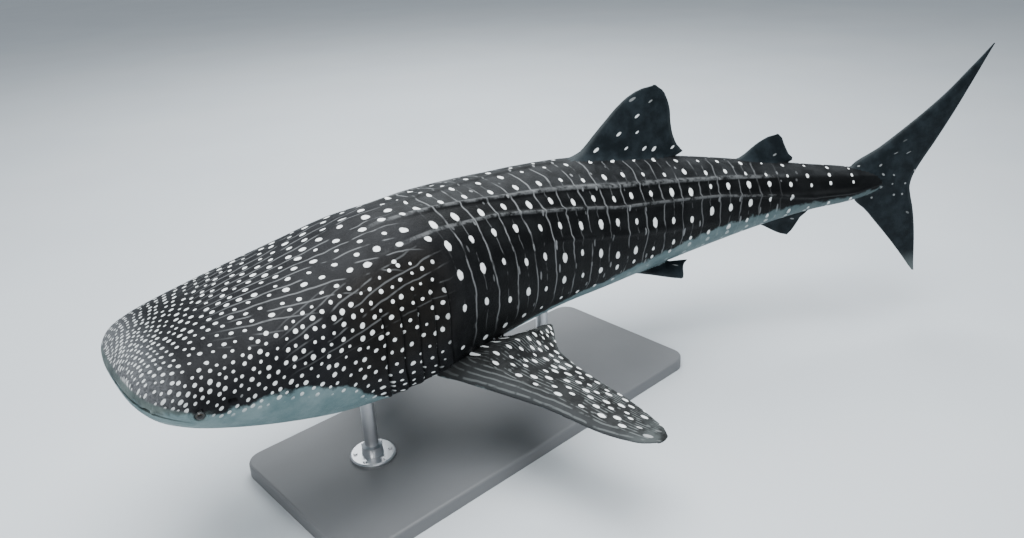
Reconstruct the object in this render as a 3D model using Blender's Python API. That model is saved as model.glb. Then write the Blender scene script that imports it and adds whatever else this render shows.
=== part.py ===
"""A life-size museum model of a swimming whale shark, held by a plain display stand.

Metres, +Z up. The head points along -X, the animal's left side faces -Y, and the origin is the
centre of the underside of the stand's base. A place on the body is a distance behind the snout,
measured along the spine, and an angle round the section: 90 is the back, 0 the left side and
-90 the belly. The spine bends, so sections and median fins follow its course.
"""

import math

import bmesh
import bpy
import numpy as np
from mathutils import Matrix, Vector

# Gap between pieces that meet face to face
GAP = 0.0003

# Where the spine stands over the base, and the distance behind the snout that is set there
SPINE_PLACE = (-0.12, 0.06, 1.0)
ANCHOR = 1.8

# Distance behind the snout, swing of the spine to the left and rise, both in degrees
SPINE_COURSE = (
    (0.0, 5.4, -5.9),
    (0.6, 2.6, -3.8),
    (1.2, -0.3, -1.6),
    (1.8, 0.0, 0.0),
    (2.4, 6.7, 0.0),
    (3.0, 16.1, -0.3),
    (3.6, 24.5, 0.2),
    (4.2, 32.9, 1.0),
    (4.8, 41.5, 1.6),
)
SPINE_STEP = 0.01
SPINE_REACH = 6.0

# Distance behind the snout, half width, height above the spine and depth below it
BODY = (
    (0.000, 0.085, 0.012, 0.014),
    (0.012, 0.235, 0.045, 0.052),
    (0.072, 0.375, 0.112, 0.127),
    (0.180, 0.440, 0.168, 0.192),
    (0.360, 0.472, 0.235, 0.265),
    (0.600, 0.488, 0.307, 0.343),
    (0.900, 0.490, 0.381, 0.418),
    (1.200, 0.484, 0.445, 0.455),
    (1.560, 0.460, 0.461, 0.461),
    (1.980, 0.435, 0.455, 0.436),
    (2.400, 0.405, 0.442, 0.418),
    (2.820, 0.369, 0.412, 0.405),
    (3.240, 0.320, 0.356, 0.356),
    (3.660, 0.260, 0.289, 0.289),
    (4.080, 0.206, 0.215, 0.209),
    (4.440, 0.157, 0.154, 0.148),
    (4.740, 0.120, 0.108, 0.108),
    (4.870, 0.066, 0.080, 0.080),
    (4.980, 0.016, 0.040, 0.040),
)

# How square the section is: 2 is an ellipse. Back and belly, at the head and from the trunk on
SQUARE_HEAD = (2.35, 2.6)
SQUARE_TRUNK = (2.1, 2.35)
SQUARE_HEAD_END = 0.8
SQUARE_TRUNK_START = 1.8

# Distance behind the snout and the angle of each ridge's crest
UPPER_RIDGE = (
    (0.0, 72), (1.25, 78), (1.66, 70), (1.98, 62), (2.3, 56), (2.85, 45), (3.5, 43), (4.98, 48),
)
MIDDLE_RIDGE = (
    (0.0, 52), (1.5, 55), (1.87, 50), (2.2, 40.5), (2.8, 27), (3.3, 23.5),
    (3.64, 21), (4.05, 12), (4.4, -1), (4.98, -4),
)
LOWER_RIDGE = (
    (0.0, 30), (1.5, 30), (1.9, 24), (2.26, 17), (2.8, 5), (3.4, -4), (4.05, -16), (4.4, -31), (4.98, -42),
)
RIDGE_HALF_WIDTH = 0.026
RIDGE_SPREAD_HEAD = 6.0
RIDGE_SPREAD_MOST = 12.0

# Distance behind the snout and the height of each ridge, the last of the middle one being the keel
BACK_RIDGE_RISE = (
    (0.7, 0.0), (1.1, 0.012), (2.4, 0.012), (2.75, 0.004), (4.3, 0.003), (4.7, 0.0), (4.98, 0.0),
)
UPPER_RIDGE_RISE = ((1.2, 0.0), (1.6, 0.013), (3.6, 0.012), (4.4, 0.0), (4.98, 0.0))
MIDDLE_RIDGE_RISE = (
    (1.7, 0.0), (2.05, 0.014), (3.6, 0.014), (4.1, 0.017), (4.45, 0.03), (4.72, 0.034), (4.98, 0.0),
)
LOWER_RIDGE_RISE = ((2.05, 0.0), (2.35, 0.012), (3.2, 0.010), (3.7, 0.0), (4.98, 0.0))
BELLY_SLOTS = 12

# Five gill flaps on each side
GILL_FIRST = 1.0
GILL_SPACING = 0.095
GILL_COUNT = 5
GILL_TOP = (24.0, 12.0)
GILL_BOTTOM = (-54.0, -42.0)
GILL_RAISED = 0.011
GILL_DEPTH = 0.02
GILL_UNDERCUT = (0.004, -0.010)
GILL_RETURN = 0.042
GILL_SLANT = 0.095
GILL_SLANT_ANGLES = (-6.0, -55.0)

# The lengths that the body is divided into, with the ring places inside each
LENGTHS = (
    ("head", 0.0, 0.90, (0.004, 0.012, 0.036, 0.072, 0.12, 0.18, 0.26, 0.36, 0.47, 0.60, 0.75)),
    ("gill_region", 0.90, 1.92, (1.58, 1.74)),
    ("trunk_front", 1.92, 2.67, (2.07, 2.22, 2.37, 2.52)),
    ("trunk_rear", 2.67, 3.60, (2.82, 2.97, 3.12, 3.28, 3.44)),
    ("tail_front", 3.60, 4.50, (3.76, 3.92, 4.08, 4.22, 4.36)),
    ("tail_stock", 4.50, 4.98, (4.60, 4.70, 4.78, 4.85, 4.92)),
)

# Mouth line as distance behind the snout and height over the spine, from the front to the corner
MOUTH_LINE = ((-0.20, -0.010), (0.0, -0.015), (0.05, -0.034), (0.12, -0.060), (0.185, -0.085))
JAW_REAR = (0.62, -0.40)
MOUTH_OPENING = 0.016
JAW_HALF_BLOCK = 0.7
UPPER_LIP_RADIUS = 0.011
UPPER_LIP_OVER = 0.010
LOWER_LIP_RADIUS = 0.014
LOWER_LIP_UNDER = 0.015
LIP_PROUD = 0.006
LIP_FIRST = 0.006
LIP_CROWDING = 2.6
LIP_FRONT_SHARE = 0.35
LIP_FLAT_PART = 0.98
LIP_STEPS = 24
LIP_SIDES = 6

# Eye, spiracle and nostril, on both sides
EYE_DISTANCE = 0.206
EYE_ANGLE = -9.0
EYE_RADIUS = 0.025
EYE_SUNK = 0.013
LID_RADIUS = 0.0075
LID_STEPS = 20
LID_SIDES = 6
SPIRACLE_DISTANCE = 0.330
SPIRACLE_ANGLE = -1.0
SPIRACLE_SIZE = (0.018, 0.009, 0.016)
NOSTRIL_DISTANCE = 0.045
NOSTRIL_ANGLE = -6.0
NOSTRIL_SIZE = (0.020, 0.010, 0.018)
NOSTRIL_FLAP_LENGTH = 0.026
NOSTRIL_FLAP_RADIUS = 0.007
NOSTRIL_FLAP_TIP = 0.35
NOSTRIL_FLAP_SIDES = 8
NOSTRIL_FLAP_LEAN = 38.0
NOSTRIL_FLAP_PLACE = (0.014, 0.004, 0.004)
EYE_FACETS = (10, 18)
HOLLOW_FACETS = (6, 10)

# Fins: rows of span, leading edge, trailing edge and half thickness, along a fin's own chord
FIRST_DORSAL = (2.752, 1, (
    (-0.10, -0.13, 0.58, 0.050),
    (0.00, -0.060, 0.68, 0.047),
    (0.012, -0.030, 0.72, 0.044),
    (0.03, -0.004, 0.77, 0.042),
    (0.07, 0.036, 0.722, 0.040),
    (0.13, 0.091, 0.684, 0.036),
    (0.22, 0.178, 0.658, 0.029),
    (0.32, 0.278, 0.643, 0.021),
    (0.38, 0.356, 0.617, 0.016),
    (0.425, 0.450, 0.580, 0.011),
    (0.442, 0.515, 0.545, 0.007),
))
SECOND_DORSAL = (3.950, 1, (
    (-0.06, -0.07, 0.27, 0.024),
    (0.00, -0.035, 0.31, 0.022),
    (0.02, -0.008, 0.40, 0.020),
    (0.05, 0.024, 0.350, 0.017),
    (0.10, 0.075, 0.312, 0.013),
    (0.15, 0.142, 0.285, 0.009),
    (0.18, 0.200, 0.268, 0.007),
    (0.19, 0.235, 0.252, 0.005),
))
ANAL = (4.070, -1, (
    (-0.06, -0.02, 0.27, 0.022),
    (0.00, 0.00, 0.32, 0.020),
    (0.018, 0.026, 0.42, 0.018),
    (0.05, 0.072, 0.352, 0.015),
    (0.09, 0.122, 0.322, 0.012),
    (0.13, 0.176, 0.294, 0.009),
    (0.157, 0.222, 0.270, 0.006),
    (0.166, 0.244, 0.256, 0.005),
))
CAUDAL_DISTANCE = 4.74
CAUDAL_UPPER = (
    (-0.06, 0.060, 0.415, 0.026),
    (0.02, 0.030, 0.425, 0.032),
    (0.115, -0.010, 0.468, 0.034),
    (0.24, 0.172, 0.537, 0.028),
    (0.34, 0.300, 0.589, 0.024),
    (0.45, 0.432, 0.644, 0.020),
    (0.58, 0.572, 0.704, 0.015),
    (0.70, 0.680, 0.758, 0.011),
    (0.80, 0.768, 0.802, 0.007),
    (0.87, 0.826, 0.834, 0.004),
)
CAUDAL_LOWER = (
    (-0.06, 0.060, 0.415, 0.026),
    (-0.118, 0.036, 0.428, 0.025),
    (-0.20, 0.120, 0.453, 0.021),
    (-0.30, 0.206, 0.476, 0.018),
    (-0.41, 0.299, 0.495, 0.014),
    (-0.52, 0.387, 0.509, 0.010),
    (-0.61, 0.455, 0.519, 0.008),
    (-0.665, 0.496, 0.526, 0.006),
    (-0.69, 0.517, 0.530, 0.004),
)

# Paired fins: distance behind the snout and parts of the half width and depth of the root's front,
# directions of the chord and span as back, out and up, and the rows
PECTORAL = (1.447, 0.60, 0.90, (0.965, 0.153, 0.213), (-0.12, 0.978, -0.172), (
    (-0.20, 0.080, 0.34, 0.045),
    (-0.04, 0.000, 0.40, 0.048),
    (0.03, 0.010, 0.46, 0.047),
    (0.083, 0.038, 0.652, 0.043),
    (0.15, 0.070, 0.650, 0.041),
    (0.20, 0.094, 0.618, 0.039),
    (0.27, 0.130, 0.580, 0.036),
    (0.40, 0.193, 0.566, 0.031),
    (0.55, 0.262, 0.578, 0.026),
    (0.70, 0.314, 0.597, 0.021),
    (0.84, 0.362, 0.611, 0.016),
    (0.96, 0.424, 0.612, 0.012),
    (1.03, 0.475, 0.606, 0.009),
    (1.065, 0.520, 0.590, 0.006),
))
PELVIC = (3.076, 0.45, 0.90, (0.998, 0.0, 0.06), (0.0, 0.92, -0.39), (
    (-0.09, 0.040, 0.21, 0.022),
    (0.00, 0.000, 0.25, 0.020),
    (0.022, 0.030, 0.380, 0.018),
    (0.06, 0.088, 0.342, 0.015),
    (0.10, 0.148, 0.312, 0.011),
    (0.135, 0.204, 0.292, 0.008),
    (0.155, 0.244, 0.276, 0.005),
))
CHORD_PARTS = (0.0, 0.05, 0.18, 0.42, 0.72, 1.0)
THICKNESS_PEAK = 2.6
EDGE_HALF = 0.0025

# Display stand
BASE_SIZE = (2.60, 1.10, 0.08)
BASE_CORNER = 0.10
BASE_CORNER_STEPS = 6
BASE_BEVEL = 0.012
BASE_BEVEL_STEPS = 2
ROD_DISTANCES = (("stand_rod_front", 1.15), ("stand_rod_rear", 2.45))
ROD_LOWER_PROFILE = (
    (0.0, 0.0),
    (0.125, 0.0),
    (0.125, 0.015),
    (0.117, 0.022),
    (0.060, 0.022),
    (0.055, 0.070),
    (0.038, 0.078),
)
CUP_RISE = 0.05
CUP_PROFILE = (
    (0.038, -0.140),
    (0.057, -0.100),
    (0.110, -0.055),
    (0.130, -0.030),
    (0.130, 0.0),
    (0.0, 0.0),
)
BOLT_PLACE = 0.022
BOLT_COUNT = 6
BOLT_RING = 0.095
BOLT_RADIUS = 0.011
BOLT_HEIGHT = 0.010
BOLT_SIDES = 6
ROUND_SIDES = 32

# Working values
ENVELOPE_GROWTH = 0.0004
JAW_PUSH = 0.00045
MERGE = 0.00002
SHARP_ANGLE = 40.0
NORMAL_STEP = 0.01

# Colours: part, colour, roughness and metallic value
COLOURS = {
    "skin": ((0.030, 0.029, 0.030), 0.45, 0.0),
    "jaw": ((0.30, 0.31, 0.31), 0.45, 0.0),
    "eye": ((0.008, 0.008, 0.010), 0.12, 0.0),
    "base": ((0.13, 0.13, 0.135), 0.50, 0.0),
    "steel": ((0.55, 0.55, 0.56), 0.32, 1.0),
}


def clear_scene():
    for obj in list(bpy.data.objects):
        bpy.data.objects.remove(obj, do_unlink=True)


def smooth_row(table, value):
    """A row of a table at a value of its first column, on a smooth curve through its rows."""
    rows = np.array(table, float)
    places = rows[:, 0]
    value = min(max(value, places[0]), places[-1])
    slopes = np.gradient(rows[:, 1:], places, axis=0)
    k = min(max(int(np.searchsorted(places, value, "right")) - 1, 0), len(rows) - 2)
    span = places[k + 1] - places[k]
    t = (value - places[k]) / span
    return (
        (2 * t**3 - 3 * t**2 + 1) * rows[k, 1:]
        + (t**3 - 2 * t**2 + t) * span * slopes[k]
        + (3 * t**2 - 2 * t**3) * rows[k + 1, 1:]
        + (t**3 - t**2) * span * slopes[k + 1]
    )


def straight_row(table, value):
    """The same on straight lines, for one column."""
    rows = np.array(table, float)
    return float(np.interp(value, rows[:, 0], rows[:, 1]))


def smooth_step(start, end, value):
    t = min(max((value - start) / (end - start), 0.0), 1.0)
    return t * t * (3 - 2 * t)


def spine_directions(distance):
    """Backward, left and up at a distance behind the snout."""
    swing, rise = (math.radians(angle) for angle in smooth_row(SPINE_COURSE, distance))
    back = Vector((math.cos(rise) * math.cos(swing), -math.cos(rise) * math.sin(swing), math.sin(rise)))
    left = Vector((-math.sin(swing), -math.cos(swing), 0.0))
    return back, left, back.cross(left) * -1


def spine_line():
    """Distances, and the spine's points at them."""
    distances = np.arange(0.0, SPINE_REACH, SPINE_STEP)
    backs = np.array([spine_directions(distance)[0] for distance in distances])
    steps = (backs[1:] + backs[:-1]) / 2 * SPINE_STEP
    points = np.concatenate([np.zeros((1, 3)), np.cumsum(steps, axis=0)])
    anchor = [np.interp(ANCHOR, distances, points[:, axis]) for axis in range(3)]
    return distances, points - anchor + np.array(SPINE_PLACE)


SPINE_DISTANCES, SPINE_POINTS = spine_line()


def spine_point(distance):
    return Vector([np.interp(distance, SPINE_DISTANCES, SPINE_POINTS[:, axis]) for axis in range(3)])


def place_on_spine(distance, left, up):
    """A point given by its distance behind the snout and its places left of and above the spine."""
    _, to_left, to_up = spine_directions(distance)
    return spine_point(distance) + to_left * left + to_up * up


BODY_BY_ROOT = tuple((math.sqrt(row[0]), *row[1:]) for row in BODY)


def body_size(distance):
    """Half width, height above the spine and depth below it. The root makes the snout blunt."""
    return smooth_row(BODY_BY_ROOT, math.sqrt(max(distance, 0.0)))


def section_point(distance, angle):
    """Places left of and above the spine of a point of the body's plain section."""
    width, above, below = body_size(distance)
    blend = smooth_step(SQUARE_HEAD_END, SQUARE_TRUNK_START, distance)
    side = 0 if math.sin(math.radians(angle)) > 0 else 1
    square = SQUARE_HEAD[side] * (1 - blend) + SQUARE_TRUNK[side] * blend
    across, over = math.cos(math.radians(angle)), math.sin(math.radians(angle))
    left = math.copysign(abs(across) ** (2 / square), across) * width
    up = math.copysign(abs(over) ** (2 / square), over) * (above if side == 0 else below)
    return left, up


def slot_angles(distance):
    """Angles of the left side's ring points from back to belly, and the rise of each."""
    width = body_size(distance)[0]
    blend = smooth_step(GILL_FIRST, SQUARE_TRUNK_START, distance)
    spread = RIDGE_SPREAD_HEAD * (1 - blend) + math.degrees(RIDGE_HALF_WIDTH / width) * blend
    spread = min(spread, RIDGE_SPREAD_MOST)
    angles, rises = [90.0, 90.0 - spread], [straight_row(BACK_RIDGE_RISE, distance), 0.0]
    for course, rise in (
        (UPPER_RIDGE, UPPER_RIDGE_RISE),
        (MIDDLE_RIDGE, MIDDLE_RIDGE_RISE),
        (LOWER_RIDGE, LOWER_RIDGE_RISE),
    ):
        crest = straight_row(course, distance)
        angles += [(angles[-1] + crest + spread) / 2, crest + spread, crest, crest - spread]
        rises += [0.0, 0.0, straight_row(rise, distance), 0.0]
    last = angles[-1]
    for slot in range(1, BELLY_SLOTS + 1):
        angles.append(last + (-90.0 - last) * slot / BELLY_SLOTS)
        rises.append(0.0)
    return angles, rises


def gill_window(angle):
    """1 along the middle of a gill slit and 0 above and below it."""
    return smooth_step(*GILL_TOP, angle) * smooth_step(*GILL_BOTTOM, angle)


def gill_slant(angle):
    """How far the lower part of a slit lies behind its upper part."""
    return GILL_SLANT * smooth_step(*GILL_SLANT_ANGLES, angle)


def ring_points(distance, role, grow=0.0, grooved=True):
    """One ring of the body's skin, in order round the section from the back down the left side."""
    angles, rises = slot_angles(distance)
    left_side = list(zip(angles, rises))
    right_side = [(180.0 - angle, rise) for angle, rise in reversed(left_side[1:-1])]
    points = []
    for angle, rise in left_side + right_side:
        down = angle if angle <= 90 else 180.0 - angle
        where, extra = distance, rise + grow
        if role != "plain":
            window = gill_window(down)
            where += gill_slant(down)
            if role == "edge":
                extra += GILL_RAISED * window
            if role == "under" and grooved:
                extra -= GILL_DEPTH * window
                where += GILL_UNDERCUT[0] + (GILL_UNDERCUT[1] - GILL_UNDERCUT[0]) * window
            elif role == "under":
                extra += GILL_RAISED * window
                where += GILL_UNDERCUT[0]
        left, up = section_point(where, angle)
        reach = math.hypot(left, up)
        points.append(place_on_spine(where, left * (1 + extra / reach), up * (1 + extra / reach)))
    return points


def gill_rings():
    rings = []
    for slit in range(GILL_COUNT):
        place = GILL_FIRST + slit * GILL_SPACING
        rings += [(place, "edge"), (place, "under"), (place + GILL_RETURN, "return")]
    return rings


def length_rings(name, start, end, between):
    """Ring places and roles of one length of the body, with half the gap left at each inner cut."""
    first = start + (GAP / 2 if start > 0 else 0)
    last = end - (GAP / 2 if name != "tail_stock" else 0)
    rings = [(first, "plain")]
    if name == "gill_region":
        rings += gill_rings()
    return rings + [(place, "plain") for place in between] + [(last, "plain")]


def finish_object(name, bm, kind):
    """A new object from a bmesh, with its own material and smooth shading."""
    mesh = bpy.data.meshes.new(name)
    bm.to_mesh(mesh)
    bm.free()
    obj = bpy.data.objects.new(name, mesh)
    bpy.context.scene.collection.objects.link(obj)
    set_material(obj, kind)
    return obj


def set_material(obj, kind):
    colour, roughness, metallic = COLOURS[kind]
    material = bpy.data.materials.new(obj.name)
    material.use_nodes = True
    shader = material.node_tree.nodes["Principled BSDF"]
    shader.inputs["Base Color"].default_value = (*colour, 1)
    shader.inputs["Roughness"].default_value = roughness
    shader.inputs["Metallic"].default_value = metallic
    material.diffuse_color = (*colour, 1)
    obj.data.materials.clear()
    obj.data.materials.append(material)
    obj.data.shade_smooth()
    obj.data.set_sharp_from_angle(angle=math.radians(SHARP_ANGLE))


def skin_rings(name, rings, kind, halves_mirrored=True):
    """A closed solid through rings of points, with a fan over each end and its faces outwards."""
    bm = bmesh.new()
    loops = [[bm.verts.new(point) for point in ring] for ring in rings]
    count = len(loops[0])
    for near, far in zip(loops, loops[1:]):
        for j in range(count):
            k = (j + 1) % count
            if halves_mirrored and j >= count // 2:
                bm.faces.new((near[j], far[j], near[k]))
                bm.faces.new((near[k], far[j], far[k]))
            else:
                bm.faces.new((near[j], far[j], far[k]))
                bm.faces.new((near[j], far[k], near[k]))
    for loop in (loops[0], loops[-1]):
        middle = bm.verts.new(sum((vert.co for vert in loop), Vector()) / count)
        for j in range(count):
            bm.faces.new((loop[j], loop[(j + 1) % count], middle))
    bmesh.ops.recalc_face_normals(bm, faces=bm.faces)
    return finish_object(name, bm, kind)


def body_length(name, start, end, between):
    rings = [ring_points(place, role) for place, role in length_rings(name, start, end, between)]
    return skin_rings(name, rings, "skin")


def body_envelope(grow):
    """The whole body as one solid, grown a little and with its gill grooves filled.

    It cuts the roots of the fins and the cups of the stand.
    """
    rings = []
    for name, start, end, between in LENGTHS:
        for place, role in length_rings(name, start, end, between)[:-1]:
            rings.append(ring_points(place, role, grow, grooved=False))
    tail_end = LENGTHS[-1][2]
    tail_ring = ring_points(tail_end, "plain", grow)
    behind = spine_directions(tail_end)[0] * grow
    rings.append([point + behind for point in tail_ring])
    return skin_rings("body_envelope", rings, "skin")


def apply_modifiers(obj):
    graph = bpy.context.evaluated_depsgraph_get()
    mesh = bpy.data.meshes.new_from_object(obj.evaluated_get(graph))
    obj.modifiers.clear()
    obj.data = mesh


def combine(obj, others, operation):
    """Joins other objects to this one in a single Boolean, and applies the result."""
    group = bpy.data.collections.new("tools")
    for other in others:
        group.objects.link(other)
    modifier = obj.modifiers.new(operation.lower(), "BOOLEAN")
    modifier.operation = operation
    modifier.operand_type = "COLLECTION"
    modifier.collection = group
    modifier.solver = "EXACT"
    apply_modifiers(obj)
    bpy.data.collections.remove(group)


def cut_each(obj, cutters, operation="DIFFERENCE"):
    for cutter in cutters:
        modifier = obj.modifiers.new(cutter.name, "BOOLEAN")
        modifier.operation = operation
        modifier.object = cutter
        apply_modifiers(obj)


def remove(objects):
    for obj in objects:
        bpy.data.objects.remove(obj, do_unlink=True)


def islands(bm):
    """The separate closed surfaces of a bmesh, as lists of faces."""
    left = set(bm.faces)
    found = []
    while left:
        todo = [left.pop()]
        group = []
        while todo:
            face = todo.pop()
            group.append(face)
            for edge in face.edges:
                for other in edge.link_faces:
                    if other in left:
                        left.discard(other)
                        todo.append(other)
        found.append(group)
    return found


def surface_volume(faces):
    """Volume inside a closed surface of triangles."""
    total = 0.0
    for face in faces:
        a, b, c = (vert.co for vert in face.verts)
        total += a.dot(b.cross(c)) / 6
    return total


def keep_largest(obj, kind):
    """Leaves the largest closed surface, in triangles, with points that all but touch merged."""
    bm = bmesh.new()
    bm.from_mesh(obj.data)
    bmesh.ops.remove_doubles(bm, verts=bm.verts, dist=MERGE)
    bmesh.ops.dissolve_degenerate(bm, edges=bm.edges, dist=MERGE)
    bmesh.ops.triangulate(bm, faces=bm.faces)
    groups = islands(bm)
    biggest = max(groups, key=surface_volume)
    scraps = [face for group in groups if group is not biggest for face in group]
    bmesh.ops.delete(bm, geom=scraps, context="FACES")
    loose = [vert for vert in bm.verts if not vert.link_faces]
    bmesh.ops.delete(bm, geom=loose, context="VERTS")
    bm.to_mesh(obj.data)
    bm.free()
    set_material(obj, kind)


def skin_point(distance, angle):
    return place_on_spine(distance, *section_point(distance, angle))


def outward(distance, angle):
    """The skin's outward direction at a place on the body."""
    here = skin_point(distance, angle)
    along = skin_point(distance + NORMAL_STEP, angle) - here
    round_it = skin_point(distance, angle + 1.0) - here
    normal = along.cross(round_it).normalized()
    return normal if normal.dot(here - spine_point(distance)) > 0 else -normal


def facing(point, normal):
    """A frame at a point with Z along the normal and X as far backward as that leaves."""
    z = normal.normalized()
    x = Vector((1, 0, 0))
    x = (x - z * x.dot(z)).normalized()
    y = z.cross(x)
    turn = Matrix((x, y, z)).transposed().to_4x4()
    return Matrix.Translation(point) @ turn


def ball(name, frame, size, kind, facets):
    bm = bmesh.new()
    bmesh.ops.create_uvsphere(bm, u_segments=facets[1], v_segments=facets[0], radius=1.0)
    bm.transform(frame @ Matrix.Diagonal((*size, 1)))
    bmesh.ops.triangulate(bm, faces=bm.faces)
    return finish_object(name, bm, kind)


def tube(name, centres, radius, sides, kind):
    """A round tube through centres, with capped ends."""
    bm = bmesh.new()
    loops = []
    for i, centre in enumerate(centres):
        before = centres[max(i - 1, 0)]
        after = centres[min(i + 1, len(centres) - 1)]
        along = (after - before).normalized()
        side = along.cross(Vector((0, 0, 1))).normalized()
        up = side.cross(along)
        turns = [2 * math.pi * k / sides for k in range(sides)]
        ways = [side * math.cos(turn) + up * math.sin(turn) for turn in turns]
        loops.append([bm.verts.new(centre + way * radius) for way in ways])
    for near, far in zip(loops, loops[1:]):
        for k in range(sides):
            bm.faces.new((near[k], far[k], far[(k + 1) % sides], near[(k + 1) % sides]))
    bm.faces.new(loops[0])
    bm.faces.new(loops[-1])
    bmesh.ops.recalc_face_normals(bm, faces=bm.faces)
    bmesh.ops.triangulate(bm, faces=bm.faces)
    return finish_object(name, bm, kind)


def lid_ring(name, frame):
    """The raised rim round an eye."""
    opening = math.sqrt(EYE_RADIUS**2 - EYE_SUNK**2) + LID_RADIUS * 0.5
    turns = [2 * math.pi * k / LID_SIDES for k in range(LID_SIDES)]
    bm = bmesh.new()
    loops = []
    for step in range(LID_STEPS):
        place = 2 * math.pi * step / LID_STEPS
        out = Vector((math.cos(place), math.sin(place), 0.0))
        ways = [out * math.cos(turn) + Vector((0, 0, math.sin(turn))) for turn in turns]
        loops.append([bm.verts.new(frame @ (out * opening + way * LID_RADIUS)) for way in ways])
    for near, far in zip(loops, loops[1:] + loops[:1]):
        for k in range(LID_SIDES):
            bm.faces.new((near[k], far[k], far[(k + 1) % LID_SIDES], near[(k + 1) % LID_SIDES]))
    bmesh.ops.recalc_face_normals(bm, faces=bm.faces)
    bmesh.ops.triangulate(bm, faces=bm.faces)
    return finish_object(name, bm, "skin")


def mouth_height(distance):
    return straight_row(MOUTH_LINE, distance)


def lip_tube(name, over, radius):
    """A lip that follows the mouth line round the snout, a little over or under it."""
    corner = MOUTH_LINE[-1][0]
    square = SQUARE_HEAD[1]
    centres = []
    for k in range(LIP_STEPS + 1):
        turn = -1 + 2 * k / LIP_STEPS
        distance = LIP_FIRST + (corner - LIP_FIRST) * abs(turn) ** LIP_CROWDING
        height = mouth_height(distance) + over
        width, _, below = body_size(distance)
        across = (1 - min(abs(height) / below, LIP_FLAT_PART) ** square) ** (1 / square)
        spread = min(abs(turn) / LIP_FRONT_SHARE, 1.0)
        left = math.copysign((width - radius + LIP_PROUD) * across * spread, turn)
        centres.append(place_on_spine(distance, left, height))
    return tube(name, centres, radius, LIP_SIDES, "skin")


def jaw_block(name, opening):
    """A block whose top is the mouth line and whose rear slopes down from the mouth's corner.

    Opening lifts its top at the front, and moves its rear face back by the gap.
    """
    back, left, up = spine_directions(EYE_DISTANCE)
    origin = spine_point(EYE_DISTANCE) - back * EYE_DISTANCE
    profile = []
    corner = MOUTH_LINE[-1][0]
    for distance, height in MOUTH_LINE:
        lift = opening * min(max(1 - distance / corner, 0.0), 1.0) + (GAP if opening else 0.0)
        profile.append((distance, height + lift))
    push = JAW_PUSH if opening else 0.0
    profile[-1] = (profile[-1][0] + push, profile[-1][1])
    profile.append((JAW_REAR[0] + push, JAW_REAR[1]))
    profile.append((MOUTH_LINE[0][0], JAW_REAR[1]))
    bm = bmesh.new()
    outline = [bm.verts.new(origin + back * d + up * z - left * JAW_HALF_BLOCK) for d, z in profile]
    face = bm.faces.new(outline)
    swept = bmesh.ops.extrude_face_region(bm, geom=[face])
    moved = [item for item in swept["geom"] if isinstance(item, bmesh.types.BMVert)]
    bmesh.ops.translate(bm, verts=moved, vec=left * JAW_HALF_BLOCK * 2)
    bmesh.ops.recalc_face_normals(bm, faces=bm.faces)
    bmesh.ops.triangulate(bm, faces=bm.faces)
    return finish_object(name, bm, "jaw")


def nostril_flap(name, frame):
    """A small tapered flap that hangs over the nostril's lower edge."""
    bm = bmesh.new()
    bmesh.ops.create_cone(
        bm, cap_ends=True, segments=NOSTRIL_FLAP_SIDES, radius1=NOSTRIL_FLAP_RADIUS,
        radius2=NOSTRIL_FLAP_RADIUS * NOSTRIL_FLAP_TIP, depth=NOSTRIL_FLAP_LENGTH,
    )
    lean = Matrix.Rotation(math.radians(NOSTRIL_FLAP_LEAN), 4, "Y")
    bm.transform(frame @ Matrix.Translation(NOSTRIL_FLAP_PLACE) @ lean)
    bmesh.ops.triangulate(bm, faces=bm.faces)
    return finish_object(name, bm, "skin")


def make_head(head):
    """Head with lips, lids, nostrils and spiracles, parted from the lower jaw, and both eyes."""
    added = [
        lip_tube("upper_lip", UPPER_LIP_OVER, UPPER_LIP_RADIUS),
        lip_tube("lower_lip", -LOWER_LIP_UNDER, LOWER_LIP_RADIUS),
    ]
    cutters = []
    for side, mirrored in (("left", False), ("right", True)):
        def on_side(angle):
            return 180.0 - angle if mirrored else angle
        eye_angle = on_side(EYE_ANGLE)
        normal = outward(EYE_DISTANCE, eye_angle)
        point = skin_point(EYE_DISTANCE, eye_angle)
        sunk = facing(point - normal * EYE_SUNK, normal)
        added.append(lid_ring("lid_" + side, facing(point, normal)))
        cutters.append(ball("socket_" + side, sunk, [EYE_RADIUS + GAP] * 3, "eye", EYE_FACETS))
        ball("eye_" + side, sunk, [EYE_RADIUS] * 3, "eye", EYE_FACETS)
        for label, distance, angle, size in (
            ("spiracle_", SPIRACLE_DISTANCE, on_side(SPIRACLE_ANGLE), SPIRACLE_SIZE),
            ("nostril_", NOSTRIL_DISTANCE, on_side(NOSTRIL_ANGLE), NOSTRIL_SIZE),
        ):
            frame = facing(skin_point(distance, angle), outward(distance, angle))
            cutters.append(ball(label + side, frame, size, "skin", HOLLOW_FACETS))
        added.append(nostril_flap("nostril_flap_" + side, frame))
    combine(head, added, "UNION")
    remove(added)
    cut_each(head, cutters)
    remove(cutters)
    keep_largest(head, "skin")
    jaw = head.copy()
    jaw.data = head.data.copy()
    jaw.name = "lower_jaw"
    bpy.context.scene.collection.objects.link(jaw)
    exact, opened = jaw_block("jaw_exact", 0.0), jaw_block("jaw_opened", MOUTH_OPENING)
    cut_each(jaw, [exact], "INTERSECT")
    cut_each(head, [opened])
    remove([exact, opened])
    keep_largest(jaw, "jaw")
    keep_largest(head, "skin")


def fin_profile(part):
    """Half thickness of a fin along its chord, as a part of the greatest."""
    return math.sqrt(part) * (1 - part) * THICKNESS_PEAK


def fin_ring(row, place):
    """A ring of points round a fin at one row, from the leading edge over the left face and back."""
    span, lead, trail, half = row
    faces = {1: [], -1: []}
    for side in faces:
        for part in CHORD_PARTS[1:]:
            thick = max(half * fin_profile(part), EDGE_HALF)
            faces[side].append(place(lead + (trail - lead) * part, span, side * thick))
    return [place(lead, span, 0.0)] + faces[1] + faces[-1][::-1]


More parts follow.
